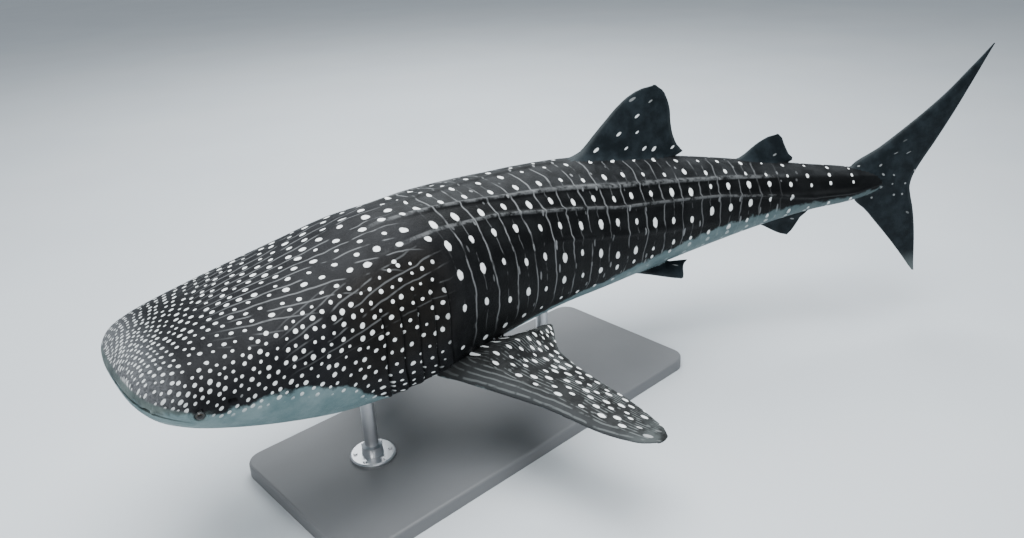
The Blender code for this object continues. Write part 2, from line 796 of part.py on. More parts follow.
def fin_solid(name, rows, place, envelope):
    obj = skin_rings(name, [fin_ring(row, place) for row in rows], "skin")
    cut_each(obj, [envelope])
    keep_largest(obj, "skin")
    return obj


def median_fin(name, fin, envelope):
    """A fin on the middle of the back (side 1) or of the belly (side -1), which bends with it."""
    start, side, rows = fin

    def place(chord, span, thick):
        distance = start + chord
        _, above, below = body_size(distance)
        height = above + span if side > 0 else -below - span
        return place_on_spine(distance, thick, height)

    return fin_solid(name, rows, place, envelope)


def caudal_lobe(name, rows, shift, envelope):
    """A lobe of the tail fin, flat in the spine's upright plane, parted from the other by the gap."""
    back, left, up = spine_directions(CAUDAL_DISTANCE)
    origin = spine_point(CAUDAL_DISTANCE)

    def place(chord, span, thick):
        return origin + back * chord + up * span + left * thick

    parted = [(rows[0][0] + shift, *rows[0][1:])] + list(rows[1:])
    return fin_solid(name, parted, place, envelope)


def paired_fin(name, fin, mirrored, envelope):
    distance, out_part, down_part, chord_way, span_way, rows = fin
    width, _, below = body_size(distance)
    back, left, up = spine_directions(distance)
    if mirrored:
        left = -left
    origin = spine_point(distance) + left * width * out_part - up * below * down_part
    ways = [back * way[0] + left * way[1] + up * way[2] for way in (chord_way, span_way)]
    chord_dir, span_dir = (way.normalized() for way in ways)
    span_dir = (span_dir - chord_dir * span_dir.dot(chord_dir)).normalized()
    thick_dir = chord_dir.cross(span_dir)

    def place(chord, span, thick):
        return origin + chord_dir * chord + span_dir * span + thick_dir * thick

    return fin_solid(name, rows, place, envelope)


def lathe(name, profile, centre, kind):
    """A turned solid on an upright axis, from (radius, height) pairs that start and end on the axis."""
    bm = bmesh.new()
    verts = [bm.verts.new((radius, 0, height)) for radius, height in profile]
    for a, b in zip(verts, verts[1:]):
        bm.edges.new((a, b))
    bmesh.ops.spin(
        bm, geom=bm.verts[:] + bm.edges[:], axis=(0, 0, 1), cent=(0, 0, 0),
        angle=2 * math.pi, steps=ROUND_SIDES, use_merge=True,
    )
    bmesh.ops.remove_doubles(bm, verts=bm.verts, dist=MERGE)
    bmesh.ops.recalc_face_normals(bm, faces=bm.faces)
    bmesh.ops.triangulate(bm, faces=bm.faces)
    bmesh.ops.translate(bm, verts=bm.verts, vec=centre)
    return finish_object(name, bm, kind)


def make_base():
    bm = bmesh.new()
    bmesh.ops.create_cube(bm, size=1.0)
    bmesh.ops.scale(bm, verts=bm.verts, vec=BASE_SIZE)
    bmesh.ops.translate(bm, verts=bm.verts, vec=(0, 0, BASE_SIZE[2] / 2))
    middle = BASE_SIZE[2] / 2
    upright = [edge for edge in bm.edges if abs(edge.verts[0].co.z - edge.verts[1].co.z) > middle]
    bmesh.ops.bevel(
        bm, geom=upright, offset=BASE_CORNER, affect="EDGES", segments=BASE_CORNER_STEPS,
        profile=0.5, material=-1,
    )
    top = [edge for edge in bm.edges if min(vert.co.z for vert in edge.verts) > BASE_SIZE[2] - MERGE]
    bmesh.ops.bevel(
        bm, geom=top, offset=BASE_BEVEL, affect="EDGES", segments=BASE_BEVEL_STEPS,
        profile=0.5, material=-1,
    )
    bmesh.ops.triangulate(bm, faces=bm.faces)
    return finish_object("stand_base", bm, "base")


def make_rod(name, distance, envelope):
    """A rod with a bolted foot and a cup that the belly rests in."""
    foot = spine_point(distance)
    belly = place_on_spine(distance, 0.0, -body_size(distance)[2])
    low = BASE_SIZE[2] + GAP
    top = belly.z + CUP_RISE
    profile = [(radius, low + height) for radius, height in ROD_LOWER_PROFILE]
    profile += [(radius, top + height) for radius, height in CUP_PROFILE]
    rod = lathe(name, profile, (foot.x, foot.y, 0.0), "steel")
    bolts = []
    for k in range(BOLT_COUNT):
        turn = 2 * math.pi * (k + 0.5) / BOLT_COUNT
        place = (foot.x + BOLT_RING * math.cos(turn), foot.y + BOLT_RING * math.sin(turn))
        bm = bmesh.new()
        bmesh.ops.create_cone(
            bm, cap_ends=True, segments=BOLT_SIDES, radius1=BOLT_RADIUS, radius2=BOLT_RADIUS,
            depth=BOLT_HEIGHT * 2,
        )
        bmesh.ops.translate(bm, verts=bm.verts, vec=(*place, low + BOLT_PLACE))
        bmesh.ops.triangulate(bm, faces=bm.faces)
        bolts.append(finish_object("bolt", bm, "steel"))
    combine(rod, bolts, "UNION")
    remove(bolts)
    cut_each(rod, [envelope])
    keep_largest(rod, "steel")


def main():
    clear_scene()
    envelope = body_envelope(ENVELOPE_GROWTH)
    lengths = {name: body_length(name, *rest) for name, *rest in LENGTHS}
    make_head(lengths["head"])
    median_fin("first_dorsal_fin", FIRST_DORSAL, envelope)
    median_fin("second_dorsal_fin", SECOND_DORSAL, envelope)
    median_fin("anal_fin", ANAL, envelope)
    caudal_lobe("caudal_fin_upper_lobe", CAUDAL_UPPER, GAP / 2, envelope)
    caudal_lobe("caudal_fin_lower_lobe", CAUDAL_LOWER, -GAP / 2, envelope)
    for side, mirrored in (("left", False), ("right", True)):
        paired_fin("pectoral_fin_" + side, PECTORAL, mirrored, envelope)
        paired_fin("pelvic_fin_" + side, PELVIC, mirrored, envelope)
    make_base()
    for name, distance in ROD_DISTANCES:
        make_rod(name, distance, envelope)
    remove([envelope])


main()
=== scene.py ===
"""Looks of a life-size whale shark on its display stand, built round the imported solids.

Metres, +Z up, the head towards -X and the animal's left side towards -Y. One skin covers the body
and all its fins. A place on it is a distance behind the snout and an angle round the section: 90
is the back, 0 the side and -90 the belly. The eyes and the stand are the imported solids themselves.
"""

import math

import bmesh
import bpy
import numpy as np
from mathutils import Matrix, Vector
from mathutils.bvhtree import BVHTree


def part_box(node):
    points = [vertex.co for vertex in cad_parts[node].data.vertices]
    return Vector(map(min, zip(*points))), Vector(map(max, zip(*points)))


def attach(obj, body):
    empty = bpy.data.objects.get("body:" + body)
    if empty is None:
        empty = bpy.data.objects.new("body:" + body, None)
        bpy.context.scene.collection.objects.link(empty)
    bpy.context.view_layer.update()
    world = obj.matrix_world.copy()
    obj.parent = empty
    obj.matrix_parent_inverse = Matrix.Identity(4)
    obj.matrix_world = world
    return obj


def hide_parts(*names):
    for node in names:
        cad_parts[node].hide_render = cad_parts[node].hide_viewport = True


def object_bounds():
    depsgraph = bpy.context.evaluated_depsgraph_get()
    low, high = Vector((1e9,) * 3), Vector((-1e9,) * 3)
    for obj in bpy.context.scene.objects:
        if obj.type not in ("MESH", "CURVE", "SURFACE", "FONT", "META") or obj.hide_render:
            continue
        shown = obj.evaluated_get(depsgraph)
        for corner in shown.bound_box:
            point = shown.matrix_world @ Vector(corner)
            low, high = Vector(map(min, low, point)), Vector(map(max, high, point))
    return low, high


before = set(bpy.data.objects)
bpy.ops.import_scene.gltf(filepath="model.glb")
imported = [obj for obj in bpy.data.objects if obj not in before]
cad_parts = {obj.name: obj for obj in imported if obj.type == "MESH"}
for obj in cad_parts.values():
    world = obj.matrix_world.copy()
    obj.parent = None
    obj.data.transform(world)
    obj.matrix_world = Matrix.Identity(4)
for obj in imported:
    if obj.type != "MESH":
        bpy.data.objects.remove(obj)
solid_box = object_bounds()

# Camera: its place, the directions to its right, up and back, and its lens on a 36 mm sensor
CAMERA_PLACE = (-2.6319, -3.1794, 2.8018)
CAMERA_RIGHT = (0.7273, -0.6854, -0.0357)
CAMERA_UP = (0.3043, 0.2754, 0.9119)
CAMERA_BACK = (-0.6152, -0.6741, 0.4089)
CAMERA_LENS = 28.29

# Where the spine stands over the base, and the distance behind the snout that is set there
SPINE_PLACE = (-0.12, 0.06, 1.0)
ANCHOR = 1.8

# Distance behind the snout, swing of the spine to the left and rise, both in degrees
SPINE_COURSE = (
    (0.0, 5.4, -5.9),
    (0.6, 2.6, -3.8),
    (1.2, -0.3, -1.6),
    (1.8, 0.0, 0.0),
    (2.4, 6.7, 0.0),
    (3.0, 16.1, -0.3),
    (3.6, 24.5, 0.2),
    (4.2, 32.9, 1.0),
    (4.8, 41.5, 1.6),
)
SPINE_STEP = 0.01
SPINE_REACH = 6.0

# Distance behind the snout, half width, height above the spine and depth below it
BODY = (
    (0.0, 0.085, 0.012, 0.014),
    (0.012, 0.235, 0.045, 0.052),
    (0.072, 0.375, 0.112, 0.127),
    (0.18, 0.44, 0.168, 0.192),
    (0.36, 0.472, 0.235, 0.265),
    (0.6, 0.488, 0.307, 0.343),
    (0.9, 0.49, 0.381, 0.418),
    (1.2, 0.484, 0.445, 0.455),
    (1.56, 0.46, 0.461, 0.461),
    (1.98, 0.435, 0.455, 0.436),
    (2.4, 0.405, 0.442, 0.418),
    (2.82, 0.369, 0.412, 0.405),
    (3.24, 0.32, 0.356, 0.356),
    (3.66, 0.26, 0.289, 0.289),
    (4.08, 0.206, 0.215, 0.209),
    (4.44, 0.157, 0.154, 0.148),
    (4.74, 0.12, 0.108, 0.108),
    (4.87, 0.066, 0.08, 0.08),
    (4.98, 0.016, 0.04, 0.04),
)
TAIL_END = 4.98

# How square the section is: 2 is an ellipse. Back and belly, at the head and from the trunk on
SQUARE_HEAD = (2.35, 2.6)
SQUARE_TRUNK = (2.1, 2.35)
SQUARE_BLEND = (0.8, 1.8)

# Distance behind the snout and the angle of each ridge's crest
UPPER_RIDGE = (
    (0.0, 72), (1.25, 78), (1.66, 70), (1.98, 62), (2.3, 56), (2.85, 45), (3.5, 43), (4.98, 48),
)
MIDDLE_RIDGE = (
    (0.0, 52), (1.5, 55), (1.87, 50), (2.2, 40.5), (2.8, 27), (3.3, 23.5),
    (3.64, 21), (4.05, 12), (4.4, -1), (4.98, -4),
)
LOWER_RIDGE = (
    (0.0, 30), (1.5, 30), (1.9, 24), (2.26, 17), (2.8, 5), (3.4, -4), (4.05, -16), (4.4, -31), (4.98, -42),
)
RIDGES = (UPPER_RIDGE, MIDDLE_RIDGE, LOWER_RIDGE)
RIDGE_HALF_WIDTH = 0.026
RIDGE_SPREAD_HEAD = 6.0
RIDGE_SPREAD_MOST = 12.0

# Distance behind the snout and the height of each ridge, the last of the middle one being the keel
BACK_RIDGE_RISE = (
    (0.7, 0.0), (1.1, 0.012), (2.4, 0.012), (2.75, 0.004), (4.3, 0.003), (4.7, 0.0), (4.98, 0.0),
)
UPPER_RIDGE_RISE = ((1.2, 0.0), (1.6, 0.013), (3.6, 0.012), (4.4, 0.0), (4.98, 0.0))
MIDDLE_RIDGE_RISE = (
    (1.7, 0.0), (2.05, 0.014), (3.6, 0.014), (4.1, 0.017), (4.45, 0.03), (4.72, 0.034), (4.98, 0.0),
)
LOWER_RIDGE_RISE = ((2.05, 0.0), (2.35, 0.012), (3.2, 0.01), (3.7, 0.0), (4.98, 0.0))
RIDGE_RISES = (UPPER_RIDGE_RISE, MIDDLE_RIDGE_RISE, LOWER_RIDGE_RISE)

# Five gill flaps on each side
GILL_FIRST = 1.0
GILL_SPACING = 0.095
GILL_COUNT = 5
GILL_TOP = (24.0, 12.0)
GILL_BOTTOM = (-54.0, -42.0)
GILL_SLANT = 0.095
GILL_SLANT_ANGLES = (-6.0, -55.0)
GILL_SLANT_START = (0.86, 0.98)
GILL_SLANT_END = (1.46, 1.78)

# One gill flap: place behind its slit, shift along the body, height over it and how much painted shade
# darkens it
GILL_PROFILE = (
    (-0.048, 0.0, 0.0, 0.0),
    (-0.038, 0.0, 0.003, 0.0),
    (-0.028, 0.0, 0.006, 0.0),
    (-0.018, 0.0, 0.009, 0.0),
    (-0.009, 0.0, 0.011, 0.0),
    (-0.003, 0.0, 0.011, 0.0),
    (0.001, 0.001, 0.009, 0.1),
    (0.003, -0.002, 0.003, 0.6),
    (0.005, -0.006, -0.008, 1.0),
    (0.008, -0.004, -0.016, 1.0),
    (0.012, 0.0, -0.016, 0.9),
    (0.018, 0.0, -0.01, 0.5),
    (0.026, 0.0, -0.004, 0.15),
    (0.036, 0.0, 0.0, 0.0),
)

# Rings of the skin: end of each stretch and the spacing in it
NOSE_SCALES = (0.0, 0.35, 0.65, 0.86, 0.97)
NOSE_BULGE = 0.003
NOSE_RINGS = 26
NOSE_END = 0.24
RING_STRETCHES = ((0.94, 0.016), (1.42, 0.0), (1.92, 0.02), (4.4, 0.025), (4.98, 0.02))

# Lines of the skin between the angles that guide it: back ridge, then gap, gap, ridge, ridge
BACK_LINES = 4
GAP_LINES = 3
RIDGE_LINES = 4
BELLY_SLOTS = 12
BELLY_LINES = 2

# Mouth line as distance behind the snout and height over the spine, from the front to the corner
MOUTH_LINE = ((-0.2, -0.01), (0.0, -0.015), (0.05, -0.034), (0.12, -0.06), (0.185, -0.085))
MOUTH_OPENING = 0.016
MOUTH_CORNER = 0.185
MOUTH_HALF = 0.7
MOUTH_STEPS = 12

# Lips as the middle over the mouth line, half width and height of each swelling
UPPER_LIP = (0.026, 0.013, 0.006)
LOWER_LIP = (-0.014, 0.012, 0.008)
CHIN_CREASE = (-0.045, 0.012, -0.004)
LIP_END = (0.165, 0.225)

# Eye, spiracle and nostril, on both sides. Holes: half length, half width, depth and tilt
EYE_DISTANCE = 0.206
EYE_ANGLE = -9.0
EYE_RADIUS = 0.025
EYE_SUNK = 0.013
SPIRACLE_DISTANCE = 0.33
SPIRACLE_ANGLE = -1.0
SPIRACLE_HOLE = (0.024, 0.0115, 0.02, -0.25)
NOSTRIL_DISTANCE = 0.045
NOSTRIL_ANGLE = -6.0
NOSTRIL_HOLE = (0.019, 0.0075, 0.014, 0.0)
BARBEL_PLACE = (NOSTRIL_DISTANCE + 0.016, NOSTRIL_ANGLE - 1.5)
BARBEL_SIZE = (0.008, 0.013)
DETAIL_REACH = 0.12

# Round the eye, from the opening's edge outwards, and round a hole, in parts of its half sizes. Rims
# and folds are the middle, half width and height of a swelling; walls and shades are start and end
SOCKET_DEPTH = 0.022
SOCKET_WALL = (-0.004, 0.002)
SOCKET_SHADE = (-0.003, 0.002)
LID_RIM = (0.006, 0.0065, 0.0075)
LID_FURROW = (0.0165, 0.004, -0.003)
LID_FOLD = (0.026, 0.007, 0.0055)
LID_FOLD_ENDS = (0.006, -0.012)
HOLE_WALL = (0.55, 1.05)
HOLE_SHADE = (0.7, 1.1)
HOLE_RIM = (1.35, 0.3, 0.1)
BARBEL_SHAPE = (0.0, 0.9, 0.011)

# Where the skin is cut finer: distances behind the snout and heights over the mouth line, and then
# distance, angle and radius of each place
FINE_CUTS = 2
FINE_MOUTH = (0.0002, 0.24)
FINE_LIPS = (-0.06, 0.055)
FINE_PLACES = (
    (EYE_DISTANCE, EYE_ANGLE, 0.065),
    (SPIRACLE_DISTANCE, SPIRACLE_ANGLE, 0.045),
    (NOSTRIL_DISTANCE, NOSTRIL_ANGLE, 0.045),
)

# Places that the dots of the head keep clear of: distance, angle and radius
DOTLESS = ((EYE_DISTANCE, EYE_ANGLE, 0.047), (SPIRACLE_DISTANCE, SPIRACLE_ANGLE, 0.034))

# Fins: rows of span, leading edge, trailing edge and half thickness, along a fin's own chord
FIRST_DORSAL = (2.752, 1, (
    (-0.1, -0.13, 0.58, 0.05),
    (0.0, -0.06, 0.68, 0.047),
    (0.012, -0.03, 0.72, 0.044),
    (0.03, -0.004, 0.77, 0.042),
    (0.07, 0.036, 0.722, 0.04),
    (0.13, 0.091, 0.684, 0.036),
    (0.22, 0.178, 0.658, 0.029),
    (0.32, 0.278, 0.643, 0.021),
    (0.38, 0.356, 0.617, 0.016),
    (0.425, 0.45, 0.58, 0.011),
    (0.442, 0.515, 0.545, 0.007),
))
SECOND_DORSAL = (3.95, 1, (
    (-0.06, -0.07, 0.27, 0.024),
    (0.0, -0.035, 0.31, 0.022),
    (0.02, -0.008, 0.4, 0.02),
    (0.05, 0.024, 0.35, 0.017),
    (0.1, 0.075, 0.312, 0.013),
    (0.15, 0.142, 0.285, 0.009),
    (0.18, 0.2, 0.268, 0.007),
    (0.19, 0.235, 0.252, 0.005),
))
ANAL = (4.07, -1, (
    (-0.06, -0.02, 0.27, 0.022),
    (0.0, 0.0, 0.32, 0.02),
    (0.018, 0.026, 0.42, 0.018),
    (0.05, 0.072, 0.352, 0.015),
    (0.09, 0.122, 0.322, 0.012),
    (0.13, 0.176, 0.294, 0.009),
    (0.157, 0.222, 0.27, 0.006),
    (0.166, 0.244, 0.256, 0.005),
))
CAUDAL_DISTANCE = 4.74
CAUDAL = (
    (-0.69, 0.517, 0.53, 0.004),
    (-0.665, 0.496, 0.526, 0.006),
    (-0.61, 0.455, 0.519, 0.008),
    (-0.52, 0.387, 0.509, 0.01),
    (-0.41, 0.299, 0.495, 0.014),
    (-0.3, 0.206, 0.476, 0.018),
    (-0.2, 0.12, 0.453, 0.021),
    (-0.118, 0.036, 0.428, 0.025),
    (-0.06, 0.03, 0.415, 0.026),
    (0.02, 0.02, 0.425, 0.032),
    (0.115, -0.01, 0.468, 0.034),
    (0.24, 0.172, 0.537, 0.028),
    (0.34, 0.3, 0.589, 0.024),
    (0.45, 0.432, 0.644, 0.02),
    (0.58, 0.572, 0.704, 0.015),
    (0.7, 0.68, 0.758, 0.011),
    (0.8, 0.768, 0.802, 0.007),
    (0.87, 0.826, 0.834, 0.004),
)

# Paired fins: distance behind the snout and parts of the half width and depth of the root's front,
# directions of the chord and span as back, out and up, and the rows
PECTORAL = (1.447, 0.6, 0.9, (0.965, 0.153, 0.213), (-0.12, 0.978, -0.172), (
    (-0.2, 0.08, 0.34, 0.045),
    (-0.04, 0.0, 0.4, 0.048),
    (0.03, 0.01, 0.46, 0.047),
    (0.083, 0.038, 0.652, 0.043),
    (0.15, 0.07, 0.65, 0.041),
    (0.2, 0.094, 0.618, 0.039),
    (0.27, 0.13, 0.58, 0.036),
    (0.4, 0.193, 0.566, 0.031),
    (0.55, 0.262, 0.578, 0.026),
    (0.7, 0.314, 0.597, 0.021),
    (0.84, 0.362, 0.611, 0.016),
    (0.96, 0.424, 0.612, 0.012),
    (1.03, 0.475, 0.606, 0.009),
    (1.065, 0.52, 0.59, 0.006),
))
PELVIC = (3.076, 0.45, 0.9, (0.998, 0.0, 0.06), (0.0, 0.92, -0.39), (
    (-0.09, 0.04, 0.21, 0.022),
    (0.0, 0.0, 0.25, 0.02),
    (0.022, 0.03, 0.38, 0.018),
    (0.06, 0.088, 0.342, 0.015),
    (0.1, 0.148, 0.312, 0.011),
    (0.135, 0.204, 0.292, 0.008),
    (0.155, 0.244, 0.276, 0.005),
))
# Lines round a fin's section, spacing of its rings and how its tips close
CHORD_LINES = 22
FIN_SPACING = 0.02
FIN_RINGS_LEAST = 8
TIP_STEPS = (0.35, 0.65, 0.87, 0.97, 1.0)
TIP_REACH = 0.2
THICKNESS_PEAK = 2.6
EDGE_HALF = 0.0022
EDGE_FADE = (0.02, 0.015)

# How far from the skin a root spreads, and the part of the chord where it no longer does
FLARE_REACH = 0.03
FLARE_END = (1.0, 0.75)
ROOT_SMOOTHINGS = (2, 3, 3)

# Kinds of surface, as the skin's own record of what each face belongs to
BODY_KIND, DORSAL_KIND, SMALL_KIND, CAUDAL_KIND, PECTORAL_KIND, PELVIC_KIND = range(6)
MARKED_KINDS = (DORSAL_KIND, SMALL_KIND, CAUDAL_KIND, PECTORAL_KIND)

# Each fin's kind of surface and how much its root spreads
FIN_ROOTS = {
    "first_dorsal": (DORSAL_KIND, 0.02),
    "second_dorsal": (SMALL_KIND, 0.01),
    "anal": (SMALL_KIND, 0.01),
    "caudal": (CAUDAL_KIND, 0.008),
    "pectoral": (PECTORAL_KIND, 0.024),
    "pelvic": (PELVIC_KIND, 0.008),
}

# Rows of spots: distance behind the snout and the row's place between ridges (0 back, 1 to 3 the
# ridges, 7 belly)
SPOT_ROWS = (
    ((0.0, 0.2), (2.7, 0.16), (3.4, 0.26), (4.98, 0.26)),
    ((0.0, 0.8), (3.7, 0.74), (4.05, 0.98), (4.98, 0.98)),
    ((0.0, 1.75), (1.8, 1.75), (2.0, 1.62), (3.4, 1.6), (3.85, 1.36), (4.3, 1.5), (4.98, 1.45)),
    (
        (0.0, 2.45), (2.4, 2.47), (3.0, 2.68), (3.45, 2.77), (3.75, 2.58), (4.05, 2.18),
        (4.3, 1.92), (4.98, 1.8),
    ),
    ((0.0, 3.2), (1.9, 3.3), (2.6, 3.55), (3.2, 3.72), (4.98, 3.2)),
    ((0.0, 3.95), (1.6, 3.95), (2.0, 4.08), (3.0, 4.1), (3.3, 4.2), (4.98, 4.0)),
    ((0.0, 4.75), (1.8, 4.8), (3.0, 4.8), (4.98, 4.8)),
)
COLUMN_FIRST = 1.65
COLUMN_SPACING = 0.1605

# Edge of the pale belly, as distance behind the snout and place between ridges
BELLY_EDGE = (
    (0.0, 4.15), (0.26, 4.27), (0.4, 4.17), (0.59, 4.15), (0.82, 4.45), (1.0, 5.2), (1.14, 5.77), (1.5, 5.9),
    (2.0, 5.3), (2.4, 5.0), (2.9, 4.5), (3.4, 3.8), (3.9, 3.1), (4.3, 2.7), (4.7, 2.5), (4.98, 2.5),
)

# Dots of the head, in fans that spread from a point ahead of the snout: its distance and arc, the
# spacing along a fan as a start and its growth, and the turn between rows
TOP_FAN = (-0.3, 0.0, -0.0075, 0.088, 0.056)
SIDE_FAN = (-0.8, 0.75, 0.0, 0.031, 0.031)

# Arc at which the two fans of dots meet, how soft a dot's edge is and the cells of dots on the fins
FANS_MEET = 0.385
DOT_SOFTNESS = 0.16
DORSAL_CELLS = (0.115, 0.1)
FAINT_CELLS = (0.075, 0.075)
PECTORAL_STEP = 0.12
RIPPLE_STEP = 0.036

MERGE = 0.00005


def smooth_rows(table, values):
    """Rows of a table at values of its first column, on a smooth curve through its rows."""
    rows = np.array(table, float)
    places = rows[:, 0]
    values = np.clip(values, places[0], places[-1])
    slopes = np.gradient(rows[:, 1:], places, axis=0)
    k = np.clip(np.searchsorted(places, values, "right") - 1, 0, len(rows) - 2)
    span = (places[k + 1] - places[k])[..., None]
    t = (values - places[k])[..., None] / span
    return (
        (2 * t**3 - 3 * t**2 + 1) * rows[k, 1:]
        + (t**3 - 2 * t**2 + t) * span * slopes[k]
        + (3 * t**2 - 2 * t**3) * rows[k + 1, 1:]
        + (t**3 - t**2) * span * slopes[k + 1]
    )


def straight(table, values):
    """A table's second column at values of its first, on straight lines."""
    rows = np.array(table, float)
    return np.interp(values, rows[:, 0], rows[:, 1])


def smooth_step(start, end, values):
    t = np.clip((np.asarray(values, float) - start) / (end - start), 0.0, 1.0)
    return t * t * (3 - 2 * t)


def swell(values, middle, half):
    """A smooth swelling of height 1 round a middle."""
    return np.exp(-(((np.asarray(values, float) - middle) / half) ** 2))


def spine_frames(distance):
    """Backward, left and up at distances behind the snout."""
    swing, rise = np.radians(smooth_rows(SPINE_COURSE, distance)).T
    back = np.stack([np.cos(rise) * np.cos(swing), -np.cos(rise) * np.sin(swing), np.sin(rise)], axis=1)
    left = np.stack([-np.sin(swing), -np.cos(swing), np.zeros_like(swing)], axis=1)
    return back, left, -np.cross(back, left)


def line_points(values, distances, points):
    """Points of a line at values of its distances."""
    return np.stack([np.interp(values, distances, points[:, axis]) for axis in range(3)], axis=-1)


def spine_line():
    distances = np.arange(0.0, SPINE_REACH, SPINE_STEP)
    backs = spine_frames(distances)[0]
    steps = (backs[1:] + backs[:-1]) / 2 * SPINE_STEP
    points = np.concatenate([np.zeros((1, 3)), np.cumsum(steps, axis=0)])
    return distances, points - line_points(ANCHOR, distances, points) + np.array(SPINE_PLACE)


SPINE_DISTANCES, SPINE_POINTS = spine_line()


def place_on_spine(distance, left, up):
    """Points given by distance behind the snout and places left of and above the spine."""
    distance, left, up = np.broadcast_arrays(*(np.asarray(v, float) for v in (distance, left, up)))
    _, to_left, to_up = spine_frames(distance)
    spine = line_points(distance, SPINE_DISTANCES, SPINE_POINTS)
    return spine + to_left * left[:, None] + to_up * up[:, None]


def body_size(distance):
    by_root = [(math.sqrt(row[0]), *row[1:]) for row in BODY]
    return smooth_rows(by_root, np.sqrt(np.maximum(distance, 0.0))).T


def section(distance, angle):
    """Places left of and above the spine of points of the body's plain section."""
    width, above, below = body_size(distance)
    blend = smooth_step(*SQUARE_BLEND, distance)
    over = np.sin(np.radians(angle))
    across = np.cos(np.radians(angle))
    top = over > 0
    square = np.where(
        top,
        SQUARE_HEAD[0] * (1 - blend) + SQUARE_TRUNK[0] * blend,
        SQUARE_HEAD[1] * (1 - blend) + SQUARE_TRUNK[1] * blend,
    )
    left = np.sign(across) * np.abs(across) ** (2 / square) * width
    up = np.sign(over) * np.abs(over) ** (2 / square) * np.where(top, above, below)
    return left, up


def skin_point(distance, angle):
    left, up = section(np.array([distance]), np.array([angle]))
    return Vector(place_on_spine([distance], left, up)[0])


def outward(distance, angle):
    """The skin's outward direction at a place on the body."""
    here = skin_point(distance, angle)
    along = skin_point(distance + 0.01, angle) - here
    round_it = skin_point(distance, angle + 1.0) - here
    normal = along.cross(round_it).normalized()
    middle = Vector(place_on_spine([distance], [0.0], [0.0])[0])
    return normal if normal.dot(here - middle) > 0 else -normal


def ridge_spread(distance):
    """Half the angle that a ridge takes up."""
    width = body_size(distance)[0]
    blend = smooth_step(GILL_FIRST, SQUARE_BLEND[1], distance)
    spread = RIDGE_SPREAD_HEAD * (1 - blend) + np.degrees(RIDGE_HALF_WIDTH / width) * blend
    return np.minimum(spread, RIDGE_SPREAD_MOST)


def guide_angles(distance):
    """Angles that guide the skin's lines at each distance, from the back down to the belly."""
    spread = ridge_spread(distance)
    angles = [np.full_like(spread, 90.0), 90.0 - spread]
    for course in RIDGES:
        crest = straight(course, distance)
        angles += [(angles[-1] + crest + spread) / 2, crest + spread, crest, crest - spread]
    last = angles[-1]
    for slot in range(1, BELLY_SLOTS + 1):
        angles.append(last + (-90.0 - last) * slot / BELLY_SLOTS)
    return np.stack(angles, axis=1)


GUIDE_STEPS = [BACK_LINES]
GUIDE_STEPS += [GAP_LINES, GAP_LINES, RIDGE_LINES, RIDGE_LINES] * len(RIDGES)
GUIDE_STEPS += [BELLY_LINES] * BELLY_SLOTS
GUIDE_LINES = np.concatenate([[0], np.cumsum(GUIDE_STEPS)])
SIDE_LINES = int(GUIDE_LINES[-1])


def ring_table():
    """Rows of place, nose scale, gill shift, gill height and painted shade in the slits, one for each ring.
    """
    rows = [(0.0, scale, 0.0, 0.0, 0.0) for scale in NOSE_SCALES]
    places = [root**2 for root in np.linspace(0.0, math.sqrt(NOSE_END), NOSE_RINGS)]
    place = NOSE_END
    for end, spacing in RING_STRETCHES:
        if spacing:
            count = max(round((end - place) / spacing), 1)
            places += [place + (end - place) * k / count for k in range(1, count + 1)]
        rows += [(at, 1.0, 0.0, 0.0, 0.0) for at in places]
        places = []
        if not spacing:
            for slit in range(GILL_COUNT):
                at = GILL_FIRST + slit * GILL_SPACING
                rows += [(at + step, 1.0, shift, height, recess_shade) for step, shift, height, recess_shade in GILL_PROFILE]
        place = rows[-1][0]
    return np.array(rows)


RING_TABLE = ring_table()


def between(table, places):
    """Rows of a table at fractional row numbers."""
    low = np.clip(np.floor(places).astype(int), 0, len(table) - 2)
    part = (places - low)[:, None]
    return table[low] * (1 - part) + table[low + 1] * part


def pick(knots, outputs, values):
    """Values read through straight lines, whose knots and outputs may differ from point to point."""
    count = len(values)
    knots, outputs = (np.broadcast_to(row, (count, np.shape(row)[-1])) for row in (knots, outputs))
    result = outputs[:, 0].astype(float)
    for k in range(outputs.shape[1] - 1):
        t = (values - knots[:, k]) / np.maximum(knots[:, k + 1] - knots[:, k], 1e-6)
        found = outputs[:, k] + (outputs[:, k + 1] - outputs[:, k]) * np.clip(t, 0.0, 1.0)
        result = np.where(values >= knots[:, k], found, result)
    return result


